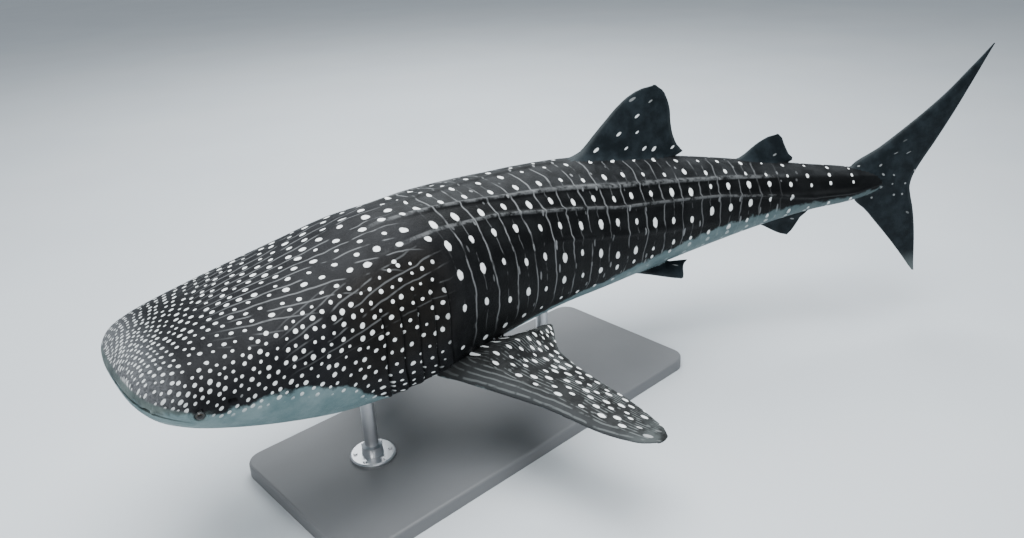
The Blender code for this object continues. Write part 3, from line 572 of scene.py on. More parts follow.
class Place:
    """Places on the body for points of the flat sheet: distance, angle down the side and side."""

    def __init__(self, ring, line):
        table = between(RING_TABLE, ring)
        self.distance, self.scale, self.shift, self.height, self.recess_shade = table.T
        self.side = np.where(line <= SIDE_LINES, 1.0, -1.0)
        down = np.minimum(line, 2 * SIDE_LINES - line)
        guides = guide_angles(self.distance)
        k = np.clip(np.searchsorted(GUIDE_LINES, down, "right") - 1, 0, len(GUIDE_LINES) - 2)
        rows = np.arange(len(down))
        t = (down - GUIDE_LINES[k]) / (GUIDE_LINES[k + 1] - GUIDE_LINES[k])
        self.angle = guides[rows, k] * (1 - t) + guides[rows, k + 1] * t
        window = smooth_step(*GILL_TOP, self.angle) * smooth_step(*GILL_BOTTOM, self.angle)
        slanted = smooth_step(*GILL_SLANT_START, self.distance)
        slanted = slanted * (1 - smooth_step(*GILL_SLANT_END, self.distance))
        self.where = self.distance + GILL_SLANT * smooth_step(*GILL_SLANT_ANGLES, self.angle) * slanted
        self.where = self.where + self.shift * window
        # Painted shade in the gill slits, kept to the gill window
        self.recess_shade = self.recess_shade * window
        self.raised = self.height * window + self.ridges()

    def ridges(self):
        spread = ridge_spread(self.distance)
        total = straight(BACK_RIDGE_RISE, self.distance) * ridge_shape(90.0 - self.angle, spread)
        for course, rise in zip(RIDGES, RIDGE_RISES):
            off = np.abs(self.angle - straight(course, self.distance))
            total = total + straight(rise, self.distance) * ridge_shape(off, spread)
        return total

    def points(self):
        left, up = section(self.where, self.angle)
        reach = np.hypot(left, up)
        left, up = left * (1 + self.raised / reach), up * (1 + self.raised / reach)
        swelling, crease = self.mouth_relief(up)
        grow = 1 + (swelling + crease) / reach
        nose = -NOSE_BULGE * (1 - self.scale**2)
        base = place_on_spine(self.where, left * grow * self.scale * self.side, up * grow * self.scale)
        back = spine_frames(self.where)[0]
        return base + back * nose[:, None]

    def mouth_relief(self, up):
        """Swelling of the lips and the crease under the lower one."""
        over = up - straight(MOUTH_LINE, self.where)
        fade = 1 - smooth_step(*LIP_END, self.where)
        swelling = sum(height * swell(over, middle, half) for middle, half, height in (UPPER_LIP, LOWER_LIP))
        crease = CHIN_CREASE[2] * swell(over, CHIN_CREASE[0], CHIN_CREASE[1])
        near = smooth_step(0.0, 0.03, self.where)
        return swelling * fade * near, crease * fade * near


def ridge_shape(off, spread):
    t = np.clip(off / spread, 0.0, 1.0)
    return 0.5 + 0.5 * np.cos(np.pi * t)


# Sheets and their record of places


ARC_STEP = 0.02
ARC_TURN = 1.5
ARC_DISTANCES = np.arange(0.0, TAIL_END + ARC_STEP, ARC_STEP)
ARC_ANGLES = np.arange(90.0, -90.0 - ARC_TURN, -ARC_TURN)

# Numbers that places between ridges go by: the back, the three crests and the belly
RIDGE_PLACES = (0.0, 1.0, 2.0, 3.0, 7.0)


def arc_table():
    """Length round the section from the middle of the back, at each distance and angle."""
    table = []
    for distance in ARC_DISTANCES:
        left, up = section(np.full(len(ARC_ANGLES), distance), ARC_ANGLES)
        steps = np.hypot(np.diff(left), np.diff(up))
        table.append(np.concatenate([[0.0], np.cumsum(steps)]))
    return np.array(table)


ARCS = arc_table()


def arc_at(distance, angle):
    i = np.clip(distance / ARC_STEP, 0, len(ARC_DISTANCES) - 1.001)
    j = np.clip((90.0 - angle) / ARC_TURN, 0, len(ARC_ANGLES) - 1.001)
    i0, j0 = i.astype(int), j.astype(int)
    a, b = i - i0, j - j0
    near, far = (ARCS[row, j0] * (1 - b) + ARCS[row, j0 + 1] * b for row in (i0, i0 + 1))
    return near * (1 - a) + far * a


def crest_angles(distance):
    """Angles of the middle of the back, the ridges' crests and the middle of the belly."""
    crests = [straight(course, distance) for course in RIDGES]
    return np.stack([np.full_like(distance, 90.0), *crests, np.full_like(distance, -90.0)], axis=1)


def arc_of(course, distance):
    """Arc of a course that is given between ridges."""
    return arc_at(distance, pick(RIDGE_PLACES, crest_angles(distance), straight(course, distance)))


def fan(distance, arc, side, shape):
    """A place in a fan of cells that spread from a point and grow with distance from it."""
    x0, y0, start, widening, turn_size = shape
    along, round_it = distance - x0, arc - y0
    reach = np.hypot(along, round_it)
    return np.log(start + widening * reach) / widening, side * np.arctan2(round_it, along) / turn_size


def body_maps(place):
    """The skin's record for body faces: pairs of numbers under their names."""
    distance = np.clip(place.where, 0.0, TAIL_END)
    arc = arc_at(distance, place.angle)
    rows = [arc_of(course, distance) for course in SPOT_ROWS]
    last = ARCS[(distance / ARC_STEP).astype(int), -1] + 0.01
    knots = np.stack([np.zeros_like(arc), *rows, last], axis=1)
    numbers = [0.0, *(k + 0.5 for k in range(len(rows))), len(rows) + 1.5]
    sizes = (knots[:, 2:] - knots[:, :-2]) / 2
    sizes = np.concatenate([sizes[:, :1], sizes, sizes[:, -1:]], axis=1)
    over = section(distance, place.angle)[1] - straight(MOUTH_LINE, distance)
    return {
        "place": (distance, arc * place.side),
        "rows": (pick(knots, numbers, arc) * place.side, pick(knots, sizes, arc)),
        # The second number is the painted shade in gill slits, eye sockets and holes
        "under": (arc - arc_of(BELLY_EDGE, distance), place.recess_shade),
        "kind": (np.full_like(arc, BODY_KIND), pick(-crest_angles(distance), RIDGE_PLACES, -place.angle)),
        "top_fan": fan(distance, arc, place.side, TOP_FAN),
        "side_fan": fan(distance, arc, place.side, SIDE_FAN),
        "mouth": (over, np.zeros_like(over)),
    }


MAP_NAMES = ("place", "rows", "under", "kind", "top_fan", "side_fan", "mouth")


def write_maps(mesh, maps):
    for name in MAP_NAMES:
        layer = mesh.uv_layers.new(name=name)
        pairs = maps.get(name)
        if pairs is None:
            continue
        flat = np.stack([np.asarray(pairs[0], float), np.asarray(pairs[1], float)], axis=1)
        layer.uv.foreach_set("vector", flat.astype(np.float32).ravel())


def sheet(across, along):
    """A flat sheet of quads whose places count its lines both ways."""
    bm = bmesh.new()
    bmesh.ops.create_grid(bm, x_segments=across, y_segments=along, size=0.5)
    bmesh.ops.translate(bm, verts=bm.verts, vec=(0.5, 0.5, 0.0))
    bmesh.ops.scale(bm, verts=bm.verts, vec=(across, along, 1.0))
    return bm


def refine(bm, chosen):
    """Cuts the sheet's chosen faces finer, which a test on the places of their middles picks."""
    middles = np.array([face.calc_center_median()[:2] for face in bm.faces])
    near = chosen(Place(middles[:, 0], middles[:, 1]))
    faces = [face for face, picked in zip(bm.faces, near) if picked]
    edges = list({edge for face in faces for edge in face.edges})
    bmesh.ops.subdivide_edges(bm, edges=edges, cuts=FINE_CUTS, use_grid_fill=True)


def new_mesh(name, bm):
    mesh = bpy.data.meshes.new(name)
    bm.to_mesh(mesh)
    bm.free()
    return mesh


def bmesh_of(mesh):
    bm = bmesh.new()
    bm.from_mesh(mesh)
    return bm


def new_object(name, mesh):
    obj = bpy.data.objects.new(name, mesh)
    bpy.context.scene.collection.objects.link(obj)
    return obj


def mesh_arrays(bm, name):
    """The sheet as a mesh, its points, the point of each corner and the middle of each corner's face."""
    mesh = new_mesh(name, bm)
    flat = np.zeros(len(mesh.vertices) * 3)
    mesh.vertices.foreach_get("co", flat)
    corners = np.zeros(len(mesh.loops), int)
    mesh.loops.foreach_get("vertex_index", corners)
    sizes = np.zeros(len(mesh.polygons), int)
    mesh.polygons.foreach_get("loop_total", sizes)
    centres = np.zeros(len(mesh.polygons) * 3)
    mesh.polygons.foreach_get("center", centres)
    return mesh, flat.reshape(-1, 3), corners, np.repeat(centres.reshape(-1, 3), sizes, axis=0)


def close_up(mesh, fill=False):
    """Merges the doubled lines of a sheet and turns its faces outwards."""
    bm = bmesh_of(mesh)
    bmesh.ops.remove_doubles(bm, verts=bm.verts, dist=MERGE)
    bmesh.ops.dissolve_degenerate(bm, edges=bm.edges, dist=MERGE)
    if fill:
        bmesh.ops.holes_fill(bm, edges=bm.edges, sides=0)
    bmesh.ops.recalc_face_normals(bm, faces=bm.faces)
    bm.to_mesh(mesh)
    bm.free()


def on_side(angle, side):
    return angle if side > 0 else 180.0 - angle


def around(points, distance, angle, side, tilt=0.0):
    """At a place on the body: its outward direction, and for points how far back and how far down
    from it they lie, and whether they are near it."""
    normal = outward(distance, on_side(angle, side))
    back = Vector(spine_frames(np.array([distance]))[0][0])
    back = (back - normal * back.dot(normal)).normalized()
    down = normal.cross(back)
    down = down if down.z < 0 else -down
    away = points - np.array(skin_point(distance, on_side(angle, side)))
    turned = back * math.cos(tilt) + down * math.sin(tilt)
    crossed = down * math.cos(tilt) - back * math.sin(tilt)
    near = np.linalg.norm(away, axis=1) < DETAIL_REACH
    return np.array(normal), away @ np.array(turned), away @ np.array(crossed), near


def folds(off, shapes):
    """Swellings and furrows, given as the middle, half width and height of each."""
    return sum(height * swell(off, middle, half) for middle, half, height in shapes)


def eye_relief(points, side):
    """Lids: a socket round the eyeball, a rim that stands up round it and a fold over it, and the painted
    shade inside the socket.
    """
    normal, along, below, near = around(points, EYE_DISTANCE, EYE_ANGLE, side)
    off = np.hypot(along, below) - math.sqrt(EYE_RADIUS**2 - EYE_SUNK**2)
    socket = -SOCKET_DEPTH * (1 - smooth_step(*SOCKET_WALL, off))
    fold = folds(off, (LID_FOLD,)) * smooth_step(*LID_FOLD_ENDS, below)
    # Painted shade inside the socket
    hollow_shade = (1 - smooth_step(*SOCKET_SHADE, off)) * near
    return ((socket + folds(off, (LID_RIM, LID_FURROW)) + fold) * near)[:, None] * normal, hollow_shade


def hole_relief(points, side, distance, angle, half_long, half_wide, depth, tilt):
    """An oval hole with a soft rim, and the painted shade inside it."""
    normal, along, below, near = around(points, distance, angle, side, tilt)
    oval = np.hypot(along / half_long, below / half_wide)
    hole = -depth * (1 - smooth_step(*HOLE_WALL, oval))
    rim = depth * folds(oval, (HOLE_RIM,))
    # Painted shade inside the hole
    hollow_shade = (1 - smooth_step(*HOLE_SHADE, oval)) * near
    return ((hole + rim) * near)[:, None] * normal, hollow_shade


def barbel_relief(points, side):
    """The small flap that hangs over a nostril."""
    normal, along, below, near = around(points, *BARBEL_PLACE, side)
    oval = np.hypot(along / BARBEL_SIZE[0], below / BARBEL_SIZE[1])
    return (folds(oval, (BARBEL_SHAPE,)) * near)[:, None] * normal


def skin_details(points):
    """Moves body points for eyes, spiracles and nostrils, and says how much painted shade darkens each place.
    """
    move = np.zeros_like(points)
    hollow_shade = np.zeros(len(points))
    for side in (1, -1):
        for shift, recess_shade in (
            eye_relief(points, side),
            hole_relief(points, side, SPIRACLE_DISTANCE, SPIRACLE_ANGLE, *SPIRACLE_HOLE),
            hole_relief(points, side, NOSTRIL_DISTANCE, NOSTRIL_ANGLE, *NOSTRIL_HOLE),
        ):
            move += shift
            hollow_shade = np.maximum(hollow_shade, recess_shade)
        move += barbel_relief(points, side)
    return points + move, hollow_shade


def near_mouth(place):
    over = section(place.where, place.angle)[1] - straight(MOUTH_LINE, place.where)
    start, end = FINE_MOUTH
    return (place.where < end) & (place.where > start) & (over > FINE_LIPS[0]) & (over < FINE_LIPS[1])


def near_details(place):
    points = place.points()
    near = np.zeros(len(points), bool)
    for distance, angle, radius in FINE_PLACES:
        for side in (1, -1):
            centre = np.array(skin_point(distance, on_side(angle, side)))
            near |= np.linalg.norm(points - centre, axis=1) < radius
    return near


def make_body():
    bm = sheet(len(RING_TABLE) - 1, 2 * SIDE_LINES)
    refine(bm, near_mouth)
    refine(bm, near_details)
    mesh, flat, corners, middles = mesh_arrays(bm, "skin")
    points, hollow_shade = skin_details(Place(flat[:, 0], flat[:, 1]).points())
    place = Place(flat[corners, 0], flat[corners, 1])
    place.side = np.where(middles[:, 1] <= SIDE_LINES, 1.0, -1.0)
    # Painted shade of the gill slits, joined with that of the eyes, spiracles and nostrils
    place.recess_shade = np.maximum(place.recess_shade, hollow_shade[corners])
    write_maps(mesh, body_maps(place))
    mesh.vertices.foreach_set("co", points.ravel())
    close_up(mesh)
    return new_object("skin", mesh)


# Fins


def fin_spans(rows, tips):
    """Spans of a fin's rings, with how far each has closed at a tip."""
    start, end = rows[0][0], rows[-1][0]
    count = max(round((end - start) / FIN_SPACING), FIN_RINGS_LEAST)
    inner = [(span, 0.0) for span in np.linspace(start, end, count + 1)]
    closing = [(TIP_REACH * step, 1 - math.sqrt(1 - step**2)) for step in TIP_STEPS]
    far = [(end + (rows[-1][2] - rows[-1][1]) * reach, step) for reach, step in closing if tips[1]]
    near = [(start - (rows[0][2] - rows[0][1]) * reach, step) for reach, step in reversed(closing) if tips[0]]
    return np.array(near + inner + far)


def make_fin(name, rows, place, body_tree, tips=(False, True)):
    """A fin's closed solid. Place turns chord, span and thickness into points."""
    kind, flare = FIN_ROOTS[name]
    spans = fin_spans(rows, tips)
    mesh, flat, corners, middles = mesh_arrays(sheet(len(spans) - 1, 2 * CHORD_LINES), name)
    span, closing = between(spans, flat[:, 0]).T
    turn = flat[:, 1] / CHORD_LINES
    face = np.where(turn <= 1, 1.0, -1.0)
    part = (1 - np.cos(np.pi * np.where(turn <= 1, turn, 2 - turn))) / 2
    lead, trail, half = smooth_rows(rows, np.clip(span, rows[0][0], rows[-1][0])).T
    middle = (lead + trail) / 2
    lead, trail = lead + (middle - lead) * closing, trail + (middle - trail) * closing
    profile = np.sqrt(part) * (1 - part) * THICKNESS_PEAK * half
    blunt = np.clip((1 - part) / EDGE_FADE[1], 0.0, 1.0) * np.clip(part / EDGE_FADE[0], 0.0, 1.0)
    thick = np.maximum(profile, EDGE_HALF * np.sqrt(blunt)) * np.sqrt(np.maximum(1 - closing**2, 0.0))
    chord = lead + (trail - lead) * part
    points = place(chord, span, face * thick)
    write_maps(mesh, {
        "place": ((chord - lead)[corners], span[corners]),
        "rows": (np.where(middles[:, 1] <= CHORD_LINES, 1.0, -1.0), part[corners]),
        "under": (span[corners] / rows[-1][0], np.zeros(len(corners))),
        "kind": (np.full(len(corners), kind), (trail - chord)[corners]),
    })
    mesh.vertices.foreach_set("co", points.ravel())
    close_up(mesh, fill=True)
    spread_root(mesh, body_tree, flare)
    return new_object(name, mesh)


def spread_root(mesh, body_tree, flare):
    """Widens a fin where it comes near the body, so that its root runs into the skin."""
    bm = bmesh_of(mesh)
    bm.normal_update()
    layer = bm.loops.layers.uv["rows"]
    for vert in bm.verts:
        nearest, normal, _, _ = body_tree.find_nearest(vert.co)
        off = max((vert.co - nearest).dot(normal), 0.0)
        if off > 5 * FLARE_REACH:
            continue
        part = max(loop[layer].uv.y for loop in vert.link_loops)
        hold = float(smooth_step(*FLARE_END, part))
        vert.co += vert.normal * (flare * math.exp(-off / FLARE_REACH) * hold)
    bm.to_mesh(mesh)
    bm.free()


def median_place(start, side):
    def place(chord, span, thick):
        distance = start + chord
        _, above, below = body_size(distance)
        return place_on_spine(distance, thick, above + span if side > 0 else -below - span)
    return place


def flat_place(*ways):
    origin, chord_way, span_way, thick_way = (np.array(way) for way in ways)

    def place(chord, span, thick):
        return origin + np.outer(chord, chord_way) + np.outer(span, span_way) + np.outer(thick, thick_way)
    return place


def frame_at(distance):
    back, left, up = (Vector(way[0]) for way in spine_frames(np.array([distance])))
    spine = Vector(place_on_spine([distance], [0.0], [0.0])[0])
    return spine, back, left, up


def paired_place(fin, side):
    distance, out_part, down_part, chord_way, span_way, _ = fin
    width, _, below = (float(size[0]) for size in body_size(np.array([distance])))
    spine, back, left, up = frame_at(distance)
    left = left * side
    origin = spine + left * width * out_part - up * below * down_part
    ways = [back * way[0] + left * way[1] + up * way[2] for way in (chord_way, span_way)]
    chord_dir, span_dir = (way.normalized() for way in ways)
    span_dir = (span_dir - chord_dir * span_dir.dot(chord_dir)).normalized()
    thick_dir = chord_dir.cross(span_dir)
    thick_dir = thick_dir if thick_dir.z > 0 else -thick_dir
    return flat_place(origin, chord_dir, span_dir, thick_dir)


def make_fins(body_tree):
    fins = []
    for name, fin in (("first_dorsal", FIRST_DORSAL), ("second_dorsal", SECOND_DORSAL), ("anal", ANAL)):
        start, side, rows = fin
        fins.append(make_fin(name, rows, median_place(start, side), body_tree))
    spine, back, left, up = frame_at(CAUDAL_DISTANCE)
    fins.append(make_fin("caudal", CAUDAL, flat_place(spine, back, up, left), body_tree, (True, True)))
    for side in (1, -1):
        for name, fin in (("pectoral", PECTORAL), ("pelvic", PELVIC)):
            fins.append(make_fin(name, fin[-1], paired_place(fin, side), body_tree))
    return fins


# Joining


def apply_boolean(obj, others, operation):
    group = bpy.data.collections.new("tools")
    for other in others:
        group.objects.link(other)
    modifier = obj.modifiers.new(operation.lower(), "BOOLEAN")
    modifier.operation = operation
    modifier.operand_type = "COLLECTION"
    modifier.collection = group
    modifier.solver = "EXACT"
    graph = bpy.context.evaluated_depsgraph_get()
    mesh = bpy.data.meshes.new_from_object(obj.evaluated_get(graph))
    obj.modifiers.clear()
    obj.data = mesh
    bpy.data.collections.remove(group)
    for other in others:
        bpy.data.objects.remove(other, do_unlink=True)


def mouth_wedge():
    """The open mouth: a thin wedge along the mouth line, from in front of the snout to its corners."""
    spine, back, left, up = frame_at(EYE_DISTANCE)
    origin = spine - back * EYE_DISTANCE
    places = np.concatenate([[MOUTH_LINE[0][0]], np.linspace(-0.02, MOUTH_CORNER, MOUTH_STEPS)])
    heights = smooth_rows(MOUTH_LINE, places)[:, 0]
    lifts = MOUTH_OPENING * np.clip(1 - places / MOUTH_CORNER, 0.0, 1.0)
    lower = list(zip(places, heights))
    upper = list(zip(places, heights + lifts))[:-1]
    bm = bmesh.new()
    outline = [bm.verts.new(origin + back * d + up * z - left * MOUTH_HALF) for d, z in lower + upper[::-1]]
    face = bm.faces.new(outline)
    swept = bmesh.ops.extrude_face_region(bm, geom=[face])
    moved = [item for item in swept["geom"] if isinstance(item, bmesh.types.BMVert)]
    bmesh.ops.translate(bm, verts=moved, vec=left * MOUTH_HALF * 2)
    bmesh.ops.recalc_face_normals(bm, faces=bm.faces)
    for face in bm.faces:
        face.material_index = 1
    return new_object("mouth_wedge", new_mesh("mouth_wedge", bm))


def soften_roots(obj):
    """Smooths the skin where fins meet the body."""
    bm = bmesh_of(obj.data)
    kinds = bm.loops.layers.uv["kind"]
    rows = set()
    for edge in bm.edges:
        found = {round(face.loops[0][kinds].uv.x) for face in edge.link_faces}
        if len(found) > 1:
            rows.update(edge.verts)
    rings = []
    for _ in ROOT_SMOOTHINGS:
        rings.append(list(rows))
        rows = rows | {edge.other_vert(vert) for vert in rows for edge in vert.link_edges}
    for verts, times in zip(reversed(rings), ROOT_SMOOTHINGS):
        for _ in range(times):
            bmesh.ops.smooth_vert(
                bm, verts=verts, factor=0.5, use_axis_x=True, use_axis_y=True, use_axis_z=True,
            )
    bm.to_mesh(obj.data)
    bm.free()


def make_skin():
    body = make_body()
    bm = bmesh_of(body.data)
    tree = BVHTree.FromBMesh(bm)
    bm.free()
    apply_boolean(body, make_fins(tree), "UNION")
    soften_roots(body)
    apply_boolean(body, [mouth_wedge()], "DIFFERENCE")
    body.data.name = "skin"
    return body


# Materials


# Pairs of shades that a pattern mixes, the first where it is 0
GROUNDS = {
    "flank": ((0.0018, 0.0021, 0.0024), (0.0052, 0.0058, 0.0062)),
    "head": ((0.004, 0.0042, 0.0052), (0.01, 0.0104, 0.0118)),
    "gills": ((0.0034, 0.003, 0.0027), (0.0082, 0.0072, 0.0062)),
    "back": ((0.006, 0.0066, 0.0072), (0.017, 0.0182, 0.0194)),
    "white": ((0.84, 0.86, 0.85), (0.5, 0.52, 0.52)),
    "lips": ((0.045, 0.06, 0.06), (0.1, 0.125, 0.12)),
    # The belly's pale blue-grey, darkened by painted shade on the underside
    "belly": ((0.095, 0.15, 0.16), (0.16, 0.22, 0.228)),
    "fin": ((0.0055, 0.0085, 0.0105), (0.014, 0.02, 0.024)),
    "pectoral": ((0.007, 0.0076, 0.0078), (0.02, 0.0212, 0.0215)),
    "pectoral_below": ((0.17, 0.22, 0.23), (0.26, 0.31, 0.31)),
    "mouth": ((0.006, 0.005, 0.005), (0.016, 0.012, 0.012)),
    "iris": ((0.012, 0.01, 0.008), (0.04, 0.034, 0.026)),
    "plate": ((0.115, 0.118, 0.123), (0.145, 0.149, 0.155)),
    "steel": ((0.5, 0.51, 0.53), (0.62, 0.63, 0.65)),
    "floor": ((0.5, 0.53, 0.56), (0.57, 0.6, 0.62)),
}

# Shades that a ground is tinted with
TINTS = {
    "snout": (0.125, 0.13, 0.138),
    "line": (0.18, 0.186, 0.19),
    # Painted shade for the insides of gill slits, eye sockets, spiracles and nostrils
    "hollow_shade": (0.002, 0.002, 0.0025),
    "fin_edge": (0.035, 0.042, 0.045),
    "fin_dot": (0.75, 0.78, 0.78),
    "tail_tip": (0.13, 0.15, 0.15),
    "pectoral_front": (0.034, 0.037, 0.039),
    "pectoral_tip": (0.07, 0.08, 0.08),
    "pectoral_thread": (0.17, 0.185, 0.185),
    # Painted shade where a pectoral fin meets the body
    "pectoral_root_shade": (0.006, 0.006, 0.006),
    "pectoral_spot": (0.8, 0.82, 0.82),
    "pectoral_rim": (0.05, 0.06, 0.06),
    "eye_ring": (0.05, 0.054, 0.055),
    "pupil": (0.001, 0.001, 0.0015),
    "plate_fleck": (0.19, 0.194, 0.2),
    "floor_fleck": (0.44, 0.47, 0.5),
}


def socket_named(sockets, name):
    if isinstance(name, int):
        return [socket for socket in sockets if socket.enabled][name]
    return next(socket for socket in sockets if socket.enabled and socket.name == name)


def operator(operation, reflected=False):
    """A method that does a Math node's operation on a value and what follows it."""
    def method(self, *others):
        values = (self, *others)
        return self.math(operation, *(values[::-1] if reflected else values))
    return method


class Value:
    """An output in a material's tree, and the arithmetic that can be done with it."""

    __add__ = __radd__ = operator("ADD")
    __sub__ = operator("SUBTRACT")
    __rsub__ = operator("SUBTRACT", reflected=True)
    __mul__ = __rmul__ = operator("MULTIPLY")
    __truediv__ = operator("DIVIDE")
    __rtruediv__ = operator("DIVIDE", reflected=True)
    __mod__ = operator("FLOORED_MODULO")
    __rmod__ = operator("FLOORED_MODULO", reflected=True)
    __abs__ = operator("ABSOLUTE")
    above = operator("GREATER_THAN")
    most = operator("MAXIMUM")
    floor = operator("FLOOR")
    root = operator("SQRT")
    exponent = operator("EXPONENT")
    sine = operator("SINE")
    cosine = operator("COSINE")
    sign = operator("SIGN")

    def __init__(self, socket):
        self.socket = socket

    def node(self, kind, settings, inputs, output=0):
        """Adds any node: first its settings, then its inputs as numbers or as other values."""
        tree = self.socket.id_data
        node = tree.nodes.new(kind)
        for name, setting in settings.items():
            setattr(node, name, setting)
        for name, value in inputs.items():
            target = socket_named(node.inputs, name)
            if isinstance(value, Value):
                tree.links.new(value.socket, target)
            else:
                target.default_value = value
        return Value(socket_named(node.outputs, output))

    def math(self, operation, *values):
        return self.node("ShaderNodeMath", {"operation": operation}, dict(enumerate(values)))

    def fraction(self):
        return self - self.floor()

    def rise(self, start, end):
        """From 0 at the start to 1 at the end, with soft ends. The start may be the greater."""
        if start > end:
            return 1.0 - self.rise(end, start)
        inputs = {"Value": self, "From Min": start, "From Max": end, "To Min": 0.0, "To Max": 1.0}
        return self.node("ShaderNodeMapRange", {"interpolation_type": "SMOOTHSTEP"}, inputs)

    def ramp(self, start, end, low, high):
        """On a straight line from low at the start to high at the end, and level beyond them."""
        inputs = {"Value": self, "From Min": start, "From Max": end, "To Min": low, "To Max": high}
        return self.node("ShaderNodeMapRange", {"clamp": True}, inputs)

    def band(self, start, end, soft=0.01):
        """1 between start and end, with edges of that softness."""
        return self.rise(start - soft, start + soft) * self.rise(end + soft, end - soft)

    def tint(self, color, amount):
        """This colour, moved by an amount towards another one or towards a named shade."""
        other = color if isinstance(color, Value) else (*TINTS[color], 1.0)
        inputs = {"Factor": amount, "A": self, "B": other}
        return self.node("ShaderNodeMix", {"data_type": "RGBA"}, inputs, "Result")

    def noise(self, scale, detail=2.0, roughness=0.5):
        inputs = {"Vector": self, "Scale": scale, "Detail": detail, "Roughness": roughness}
        return self.node("ShaderNodeTexNoise", {"noise_dimensions": "3D"}, inputs)

    def drift(self, scale, reach, *finer):
        """Noise that strays to both sides of 0."""
        return (self.noise(scale, *finer) - 0.5) * reach

    def split(self):
        first = self.node("ShaderNodeSeparateXYZ", {}, {"Vector": self})
        return [Value(output) for output in first.socket.node.outputs]

    def vector(self, x, y, z):
        return self.node("ShaderNodeCombineXYZ", {}, {"X": x, "Y": y, "Z": z})

    def uv(self, name):
        """The two numbers that the skin keeps under a name."""
        return self.node("ShaderNodeUVMap", {"uv_map": name}, {}).split()[:2]

    def ground(self, name, amount):
        """A named pair of shades, mixed by an amount."""
        inputs = {"Factor": amount}
        inputs["A"], inputs["B"] = ((*color, 1.0) for color in GROUNDS[name])
        return self.node("ShaderNodeMix", {"data_type": "RGBA"}, inputs, "Result")


def new_material(name):
    """A material with an empty tree, and its place in object coordinates."""
    material = bpy.data.materials.new(name)
    material.use_nodes = True
    tree = material.node_tree
    tree.nodes.clear()
    return material, Value(tree.nodes.new("ShaderNodeTexCoord").outputs["Object"])


def finish_material(here, color, roughness, bumps, **others):
    """Ends a material with its shader. Each bump is a height as a value and its size in metres."""
    inputs = {"Base Color": color, "Roughness": roughness}
    inputs.update((name.replace("_", " "), value) for name, value in others.items())
    for height, size in bumps:
        parts = {"Strength": 1.0, "Distance": size, "Height": height}
        if "Normal" in inputs:
            parts["Normal"] = inputs["Normal"]
        inputs["Normal"] = here.node("ShaderNodeBump", {}, parts)
    shader = here.node("ShaderNodeBsdfPrincipled", {}, inputs, "BSDF")
    tree = here.socket.id_data
    output = tree.nodes.new("ShaderNodeOutputMaterial")
    tree.links.new(shader.socket, output.inputs["Surface"])


def cell(u, v, seed, jitter):
    """Cells of a grid, one dot in each: the way from the dot in parts of the cell, its place and chance."""
    cell_u, cell_v = u.floor(), v.floor()
    inputs = {"Vector": u.vector(cell_u, cell_v, seed)}
    chance = u.node("ShaderNodeTexWhiteNoise", {"noise_dimensions": "3D"}, inputs, "Color").split()
    dot_u = cell_u + 0.5 + (chance[0] - 0.5) * jitter[0]
    dot_v = cell_v + 0.5 + (chance[1] - 0.5) * jitter[1]
    return u - dot_u, v - dot_v, dot_u, dot_v, chance


def oval(along, across, half_along, half_across, wobble):
    """A soft-edged oval dot: 1 inside and 0 outside."""
    u, v = along / half_along, across / half_across
    return ((u * u + v * v).root() + wobble).rise(1.0 + DOT_SOFTNESS, 1.0 - DOT_SOFTNESS)


def dots(u, v, steps, seed, jitter, halves, grow, wobble):
    """Dots in cells of those steps, which grow from a least size: their places and chances too."""
    off_u, off_v, at_u, at_v, chance = cell(u, v, seed, jitter)
    size = grow[0] + grow[1] * chance[2]
    dot = oval(off_u * steps[0], off_v * steps[1], halves[0] * size, halves[1] * size, wobble)
    return dot, at_u * steps[0], at_v * steps[1], chance


def thread(off, half, broken):
    """A thin line: how far off it is, half its width and where it is whole."""
    return abs(off).rise(half * 1.5, half * 0.5) * broken


def fan_marks(here, name, shape, seed, stretch, size, growth, region, wobble):
    """Dots in staggered rows that run back from the snout, and thin lines between the rows."""
    x0, y0, start, widening, turn_size = shape
    p, q = here.uv(name)
    side = here.uv("place")[1].sign()
    q = q + here.drift(5.0, 0.9)
    stagger = (q.floor() % 2.0) * 0.5
    off_p, off_q, dot_p, dot_q, chance = cell(p + stagger, q, seed, (0.36, 0.3))
    reach = (((dot_p - stagger) * widening).exponent() - start) / widening
    turn = dot_q * turn_size * side
    distance = x0 + reach * turn.cosine()
    arc = y0 + reach * turn.sine()
    along = off_p * (start + widening * reach)
    across = off_q * turn_size * reach
    radius = (size + growth * distance) * (0.7 + 0.58 * chance[2])
    dot = oval(along, across, radius * stretch, radius, wobble) * region(distance, arc)
    way = (q + 0.5).fraction() - 0.5
    line = thread(way * turn_size * reach, 0.0036, here.noise(8.0).rise(0.4, 0.5))
    return dot, line


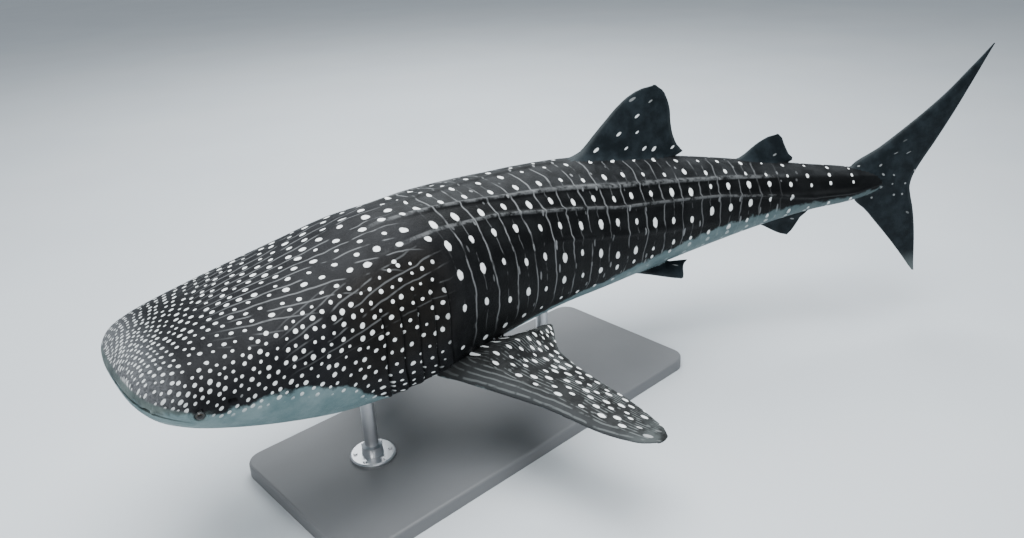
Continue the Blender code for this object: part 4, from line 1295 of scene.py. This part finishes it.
def row_spots(here, row, size, wobble):
    """The spots of the trunk and the tail, in columns, with small ones between them."""
    column = (here.uv("place")[0] - COLUMN_FIRST) / COLUMN_SPACING + 0.5
    off_u, off_v, at_u, at_v, chance = cell(column, row, 3.0, (0.14, 0.18))
    where = at_u * COLUMN_SPACING + (COLUMN_FIRST - COLUMN_SPACING / 2)
    low = at_v.rise(0.9, 2.2)
    grow = (0.74 + 0.5 * chance[2]) * where.ramp(3.4, 4.7, 1.0, 0.62)
    half_u = (0.0115 + 0.0035 * low) * grow
    half_v = (0.0145 + 0.0085 * low) * grow
    big = oval(off_u * COLUMN_SPACING, off_v * size, half_u, half_v, wobble)
    front = where + at_v.rise(3.0, 1.5) * -0.1
    big = big * front.rise(1.36, 1.4) * where.rise(4.78, 4.7) * at_v.rise(7.3, 6.9)
    off_u, off_v, at_u, at_v, chance = cell(column + 0.5, row + 0.5, 9.0, (0.4, 0.6))
    where = at_u * COLUMN_SPACING + (COLUMN_FIRST - COLUMN_SPACING)
    radius = 0.0064 * (0.7 + 0.6 * chance[2])
    stretch = at_v.ramp(2.5, 5.0, 1.4, 3.4)
    small = oval(off_u * COLUMN_SPACING, off_v * size, radius, radius * stretch, wobble)
    small = small * where.rise(1.5, 1.7) * where.rise(4.4, 4.1) * (chance[1] + at_v * 0.08).above(0.5)
    return big, small * chance[2].ramp(0.0, 1.0, 0.3, 1.0)


def bars(here, row):
    """Thin pale upright lines midway between the columns of spots, and fainter ones beside them."""
    distance = here.uv("place")[0]
    column = (distance - COLUMN_FIRST) / COLUMN_SPACING + here.drift(6.0, 0.36)
    window = distance.rise(1.42, 1.6) * distance.rise(4.3, 3.8) * row.rise(0.2, 0.6) * row.rise(6.8, 5.8)
    main = thread((column.fraction() - 0.5) * COLUMN_SPACING, 0.0046, here.noise(7.0).rise(0.36, 0.5))
    twice = (column * 2.0 + 0.5).fraction() - 0.5
    side = thread(twice * COLUMN_SPACING / 2, 0.003, here.noise(12.0).rise(0.47, 0.56))
    return main * window, side * window


def fin_marks(here, kind, wobble):
    """The spots, threads and paler parts of the fins, on a slate ground."""
    chord, span = here.uv("place")
    face, part = here.uv("rows")
    length = here.uv("kind")[1]
    mottle = here.noise(11.0, 4.0, 0.6)
    cloud = mottle.rise(0.35, 0.7)
    drift = here.drift(6.0, 0.6)
    on_dorsal, on_small, on_tail, on_pectoral = (kind.band(k - 0.5, k + 0.5) for k in MARKED_KINDS)

    # Fins of the back, the tail and the belly
    edge = part.rise(0.05, 0.0).most(part.rise(0.93, 1.0))
    color = here.ground("fin", cloud).tint("fin_edge", edge * 0.6)
    u, v = DORSAL_CELLS
    dorsal, _, out, chance = dots(
        chord / u, span / v, (u, v), 21.0, (0.5, 0.5), (0.01, 0.0115), (0.7, 0.6), wobble,
    )
    dorsal = dorsal * out.rise(0.38, 0.3) * chance[1].above(0.42) * on_dorsal
    u, v = FAINT_CELLS
    faint, _, out, chance = dots(
        chord / u, span / v, (u, v), 22.0, (0.5, 0.5), (0.007, 0.007), (0.6, 0.8), wobble,
    )
    few = chance[1].above(0.55) * abs(out).rise(0.36, 0.12) * on_tail
    rare = chance[1].above(0.85) * (on_small + kind.above(PELVIC_KIND - 0.5))
    color = color.tint("fin_dot", dorsal.most(faint * (few + rare) * 0.28))
    color = color.tint("tail_tip", span.rise(-0.52, -0.68) * on_tail * 0.7)

    # Pectoral fins, whose rows run out along the fin
    front = chord / length
    width = 0.036 + 0.09 * length
    row = (chord - 0.34 * length) / width + drift * 0.5
    step = span / PECTORAL_STEP + (row.floor() % 2.0) * 0.5
    cells = (PECTORAL_STEP, width)
    spots, out, across, chance = dots(
        step, row, cells, 31.0, (0.34, 0.3), (0.017, 0.0115), (0.75, 0.5), wobble,
    )
    spots = spots * across.above(0.0) * out.rise(1.03, 0.99)
    small, _, across, chance = dots(
        step + 0.5, row, cells, 32.0, (0.4, 0.4), (0.01, 0.0065), (1.0, 0.0), wobble,
    )
    small = small * across.above(0.0) * chance[0].above(0.45)
    way = ((row * 2.0 + 0.5).fraction() - 0.5) * width / 2
    lines = thread(way, 0.0036, here.noise(14.0).rise(0.46, 0.58)) * row.above(-0.3)
    shore = ((chord / RIPPLE_STEP + drift * 1.4).fraction() - 0.5) * RIPPLE_STEP
    ripples = thread(shore, 0.005, here.noise(13.0, 3.0).rise(0.36, 0.5)) * front.rise(0.42, 0.3)
    tip = span.rise(0.86, 1.05).most(part.rise(0.95, 1.0) * 0.6) * mottle.rise(0.3, 0.6)
    upper = here.ground("pectoral", cloud).tint("pectoral_front", front.rise(0.4, 0.05) * 0.7)
    upper = upper.tint("pectoral_tip", tip * 0.7)
    upper = upper.tint("pectoral_thread", lines.most(ripples * 0.75).most(small * 0.8) * 0.55)
    # Painted shade darkens the fin near its root, where it meets the body, before the spots go on top
    upper = upper.tint("pectoral_root_shade", span.rise(0.16, 0.0) * 0.7).tint("pectoral_spot", spots)
    rim = part.rise(0.9, 1.0).most(span.rise(0.75, 1.02) * 0.7)
    lower = here.ground("pectoral_below", mottle).tint("pectoral_rim", rim)
    pectoral = upper.tint(lower, (face * part + (mottle - 0.5) * 0.06).rise(0.0, -0.02))
    return color.tint(pectoral, on_pectoral)


def clear_of_details(distance, arc):
    """0 where a dot would lie on an eye's lids or on a spiracle, and 1 elsewhere."""
    clear = 1.0
    for at_distance, at_angle, radius in DOTLESS:
        at_arc = float(arc_at(np.array([at_distance]), np.array([at_angle]))[0])
        along, across = distance - at_distance, arc - at_arc
        clear = clear * (along * along + across * across).root().rise(radius * 0.9, radius)
    return clear


def make_skin_material():
    material, here = new_material("whale_skin")
    distance, arc = here.uv("place")
    arc = abs(arc)
    row, size = here.uv("rows")
    row = abs(row)
    kind, part = here.uv("kind")
    under, recess_shade = here.uv("under")
    over = here.uv("mouth")[0]
    wobble = here.drift(55.0, 0.5)
    mottle = here.noise(9.0, 4.0, 0.6)
    cloud = mottle.rise(0.3, 0.7)
    fine = here.noise(90.0, 3.0, 0.6)

    # Ground colours
    color = here.ground("head", cloud)
    color = color.tint(here.ground("flank", mottle.rise(0.4, 0.7)), distance.rise(1.25, 1.65))
    gills = distance.band(0.85, 1.4, 0.15) * arc.band(0.36, 0.85, 0.08)
    color = color.tint(here.ground("gills", cloud), gills)
    back = part.rise(1.15, 0.9) * distance.rise(1.1, 1.8)
    color = color.tint(here.ground("back", mottle.rise(0.35, 0.65)), back)
    color = color.tint("snout", distance.rise(0.22, 0.0) * fine.ramp(0.3, 0.65, 0.3, 0.95))

    # Marks
    top, top_line = fan_marks(
        here, "top_fan", TOP_FAN, seed=1.0, stretch=1.3, size=0.0046, growth=0.0072, wobble=wobble,
        region=lambda x, a: (FANS_MEET - a).above(0.0) * x.rise(1.5, 1.44) * x.above(0.004),
    )
    cheek, cheek_line = fan_marks(
        here, "side_fan", SIDE_FAN, seed=2.0, stretch=1.0, size=0.007, growth=0.0024, wobble=wobble,
        region=lambda x, a: a.above(FANS_MEET) * x.rise(1.4, 1.34) * x.above(0.004) * clear_of_details(x, a),
    )
    big, small = row_spots(here, row, size, wobble)
    bar, faint_bar = bars(here, row)
    crest = abs(part - 1.0).rise(0.13, 0.05).most(abs(part - 2.0).rise(0.09, 0.03))
    crest = crest * distance.band(1.25, 4.1, 0.2) * here.noise(22.0, 4.0, 0.7).rise(0.36, 0.6)
    top_line = top_line * arc.rise(0.46, 0.36) * distance.band(0.42, 1.3, 0.12)
    cheek_line = cheek_line * arc.band(0.36, 0.62, 0.05) * distance.band(0.62, 1.38, 0.1)
    lip = distance.rise(0.27, 0.2) * over.rise(0.06, 0.045)
    keel = abs(part - 2.0).rise(0.4, 0.25) * distance.rise(4.15, 4.35)
    marks = top.most(cheek).most(big * (1.0 - keel)) * (1.0 - lip)
    rear = distance.ramp(2.2, 3.6, 1.0, 0.6)
    faint = small.most(bar * 0.72 * rear).most(faint_bar * 0.28).most(crest * 0.42)
    faint = faint.most(top_line * 0.55).most(cheek_line * 0.4)
    color = color.tint("line", faint)
    color = color.tint(here.ground("white", distance.rise(0.7, 0.1)), marks)

    # Lips, belly (its tone darkened by painted shade), fins, and painted shade in the hollows
    color = color.tint(here.ground("lips", mottle.rise(0.35, 0.65)), lip)
    ragged = here.drift(14.0, 0.1, 4.0, 0.6)
    speckle = 1.0 - marks * under.rise(0.05, 0.02) * 0.6
    fading = distance.ramp(2.6, 4.6, 1.0, 0.5)
    # The pale belly, whose colour also holds painted shade
    belly = (under + ragged).rise(-0.012, 0.014) * speckle * fading
    color = color.tint(here.ground("belly", cloud), belly)
    color = fin_marks(here, kind, wobble).tint(color, kind.rise(0.6, 0.4))
    # Gill slits, eye sockets, spiracles and nostrils darkened with painted shade
    color = color.tint("hollow_shade", recess_shade * 0.92)
    bumps = ((here.noise(420.0, 3.0, 0.7), 0.0008), (fine, 0.002))
    finish_material(here, color, 0.42 + fine * 0.18, bumps, Specular_IOR_Level=0.09)
    return material


def make_mouth_material():
    material, here = new_material("mouth_inside")
    flesh = here.noise(60.0, 3.0)
    finish_material(here, here.ground("mouth", flesh), 0.6 + flesh * 0.2, ((flesh, 0.002),))
    return material


def make_eye_material(name, side):
    material, here = new_material(name)
    centre = np.mean([tuple(corner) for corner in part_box(name)], axis=0)
    outwards = outward(EYE_DISTANCE, on_side(EYE_ANGLE, side))
    away = here.node("ShaderNodeVectorMath", {"operation": "SUBTRACT"}, {0: here, 1: tuple(centre)})
    direction = here.node("ShaderNodeVectorMath", {"operation": "NORMALIZE"}, {0: away})
    parts = {0: direction, 1: tuple(outwards)}
    facing = here.node("ShaderNodeVectorMath", {"operation": "DOT_PRODUCT"}, parts, "Value")
    fibres = here.noise(900.0, 3.0, 0.6)
    color = here.ground("iris", fibres).tint("eye_ring", facing.rise(0.8, 0.74))
    color = color.tint("pupil", facing.rise(0.86, 0.89))
    gloss = {"Specular_IOR_Level": 0.15, "Coat_Weight": 0.45, "Coat_Roughness": 0.03}
    finish_material(here, color, 0.14 + fibres * 0.08, (), **gloss)
    return material


def make_base_material():
    material, here = new_material("stand_plate")
    fleck = here.noise(260.0, 4.0, 0.7)
    color = here.ground("plate", here.noise(3.0, 3.0)).tint("plate_fleck", fleck.rise(0.58, 0.72) * 0.4)
    finish_material(here, color, 0.42 + fleck * 0.2, ((fleck, 0.0004),))
    return material


def make_rod_material():
    material, here = new_material("stand_rod")
    x, y, z = here.split()
    brush = here.vector(x * 8.0, y * 8.0, z * 260.0).noise(4.0, 3.0, 0.6)
    finish_material(here, here.ground("steel", brush), 0.28 + brush * 0.14, ((brush, 0.0003),), Metallic=1.0)
    return material


def make_floor_material():
    material, here = new_material("floor")
    grain = here.noise(180.0, 3.0, 0.6)
    color = here.ground("floor", here.noise(0.6, 3.0)).tint("floor_fleck", grain.rise(0.6, 0.75) * 0.4)
    finish_material(here, color, 0.62 + grain * 0.15, ((grain, 0.0005),))
    return material


# The scene


FLOOR_SIZE = 120.0
WORLD_SHADE = (0.62, 0.68, 0.74, 1.0)
WORLD_STRENGTH = 0.72

# Lights: place, point looked at, size and power in watts, and colour
LIGHTS = (
    ("light_above", (-0.8, -0.8, 8.0), (0.4, 0.1, 0.4), 7.0, 1350.0, (0.95, 0.98, 1.0)),
    ("light_front", (-5.2, -4.6, 3.6), (-0.8, -0.4, 0.3), 3.0, 210.0, (1.0, 0.98, 0.95)),
    ("light_far", (5.0, 6.0, 9.0), (5.0, 5.5, 0.0), 9.0, 1500.0, (0.94, 0.98, 1.0)),
)


def make_floor():
    bm = sheet(2, 2)
    bmesh.ops.translate(bm, verts=bm.verts, vec=(-1.0, -1.0, 0.0))
    bmesh.ops.scale(bm, verts=bm.verts, vec=(FLOOR_SIZE / 2, FLOOR_SIZE / 2, 1.0))
    bmesh.ops.translate(bm, verts=bm.verts, vec=(0.0, 0.0, solid_box[0][2]))
    mesh = new_mesh("floor", bm)
    mesh.materials.append(make_floor_material())
    new_object("floor", mesh)


def make_lights():
    for name, place, target, size, power, color in LIGHTS:
        light = bpy.data.lights.new(name, "AREA")
        light.shape = "DISK"
        light.size = size
        light.energy = power
        light.color = color
        lamp = new_object(name, light)
        lamp.location = place
        lamp.rotation_euler = (Vector(target) - Vector(place)).to_track_quat("-Z", "Y").to_euler()
    world = bpy.data.worlds.new("room")
    world.use_nodes = True
    sky = next(node for node in world.node_tree.nodes if node.type == "BACKGROUND")
    sky.inputs["Color"].default_value = WORLD_SHADE
    sky.inputs["Strength"].default_value = WORLD_STRENGTH
    bpy.context.scene.world = world


def make_camera():
    lens = bpy.data.cameras.new("camera")
    lens.lens = CAMERA_LENS
    lens.sensor_width = 36.0
    camera = new_object("camera", lens)
    turn = Matrix((CAMERA_RIGHT, CAMERA_UP, CAMERA_BACK)).transposed().to_4x4()
    camera.matrix_world = Matrix.Translation(CAMERA_PLACE) @ turn
    bpy.context.scene.camera = camera


def dress_nodes():
    """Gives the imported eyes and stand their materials."""
    rod = make_rod_material()
    looks = {
        "eye_left": make_eye_material("eye_left", 1),
        "eye_right": make_eye_material("eye_right", -1),
        "stand_base": make_base_material(),
        "stand_rod_front": rod,
        "stand_rod_rear": rod,
    }
    for name, material in looks.items():
        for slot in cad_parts[name].material_slots:
            slot.material = material


FLESH = [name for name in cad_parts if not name.startswith(("stand_", "eye_"))]

skin = make_skin()
skin.data.materials.clear()
skin.data.materials.append(make_skin_material())
skin.data.materials.append(make_mouth_material())
skin.data.shade_smooth()
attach(skin, "root")
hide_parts(*FLESH)

dress_nodes()
make_floor()
make_lights()
make_camera()
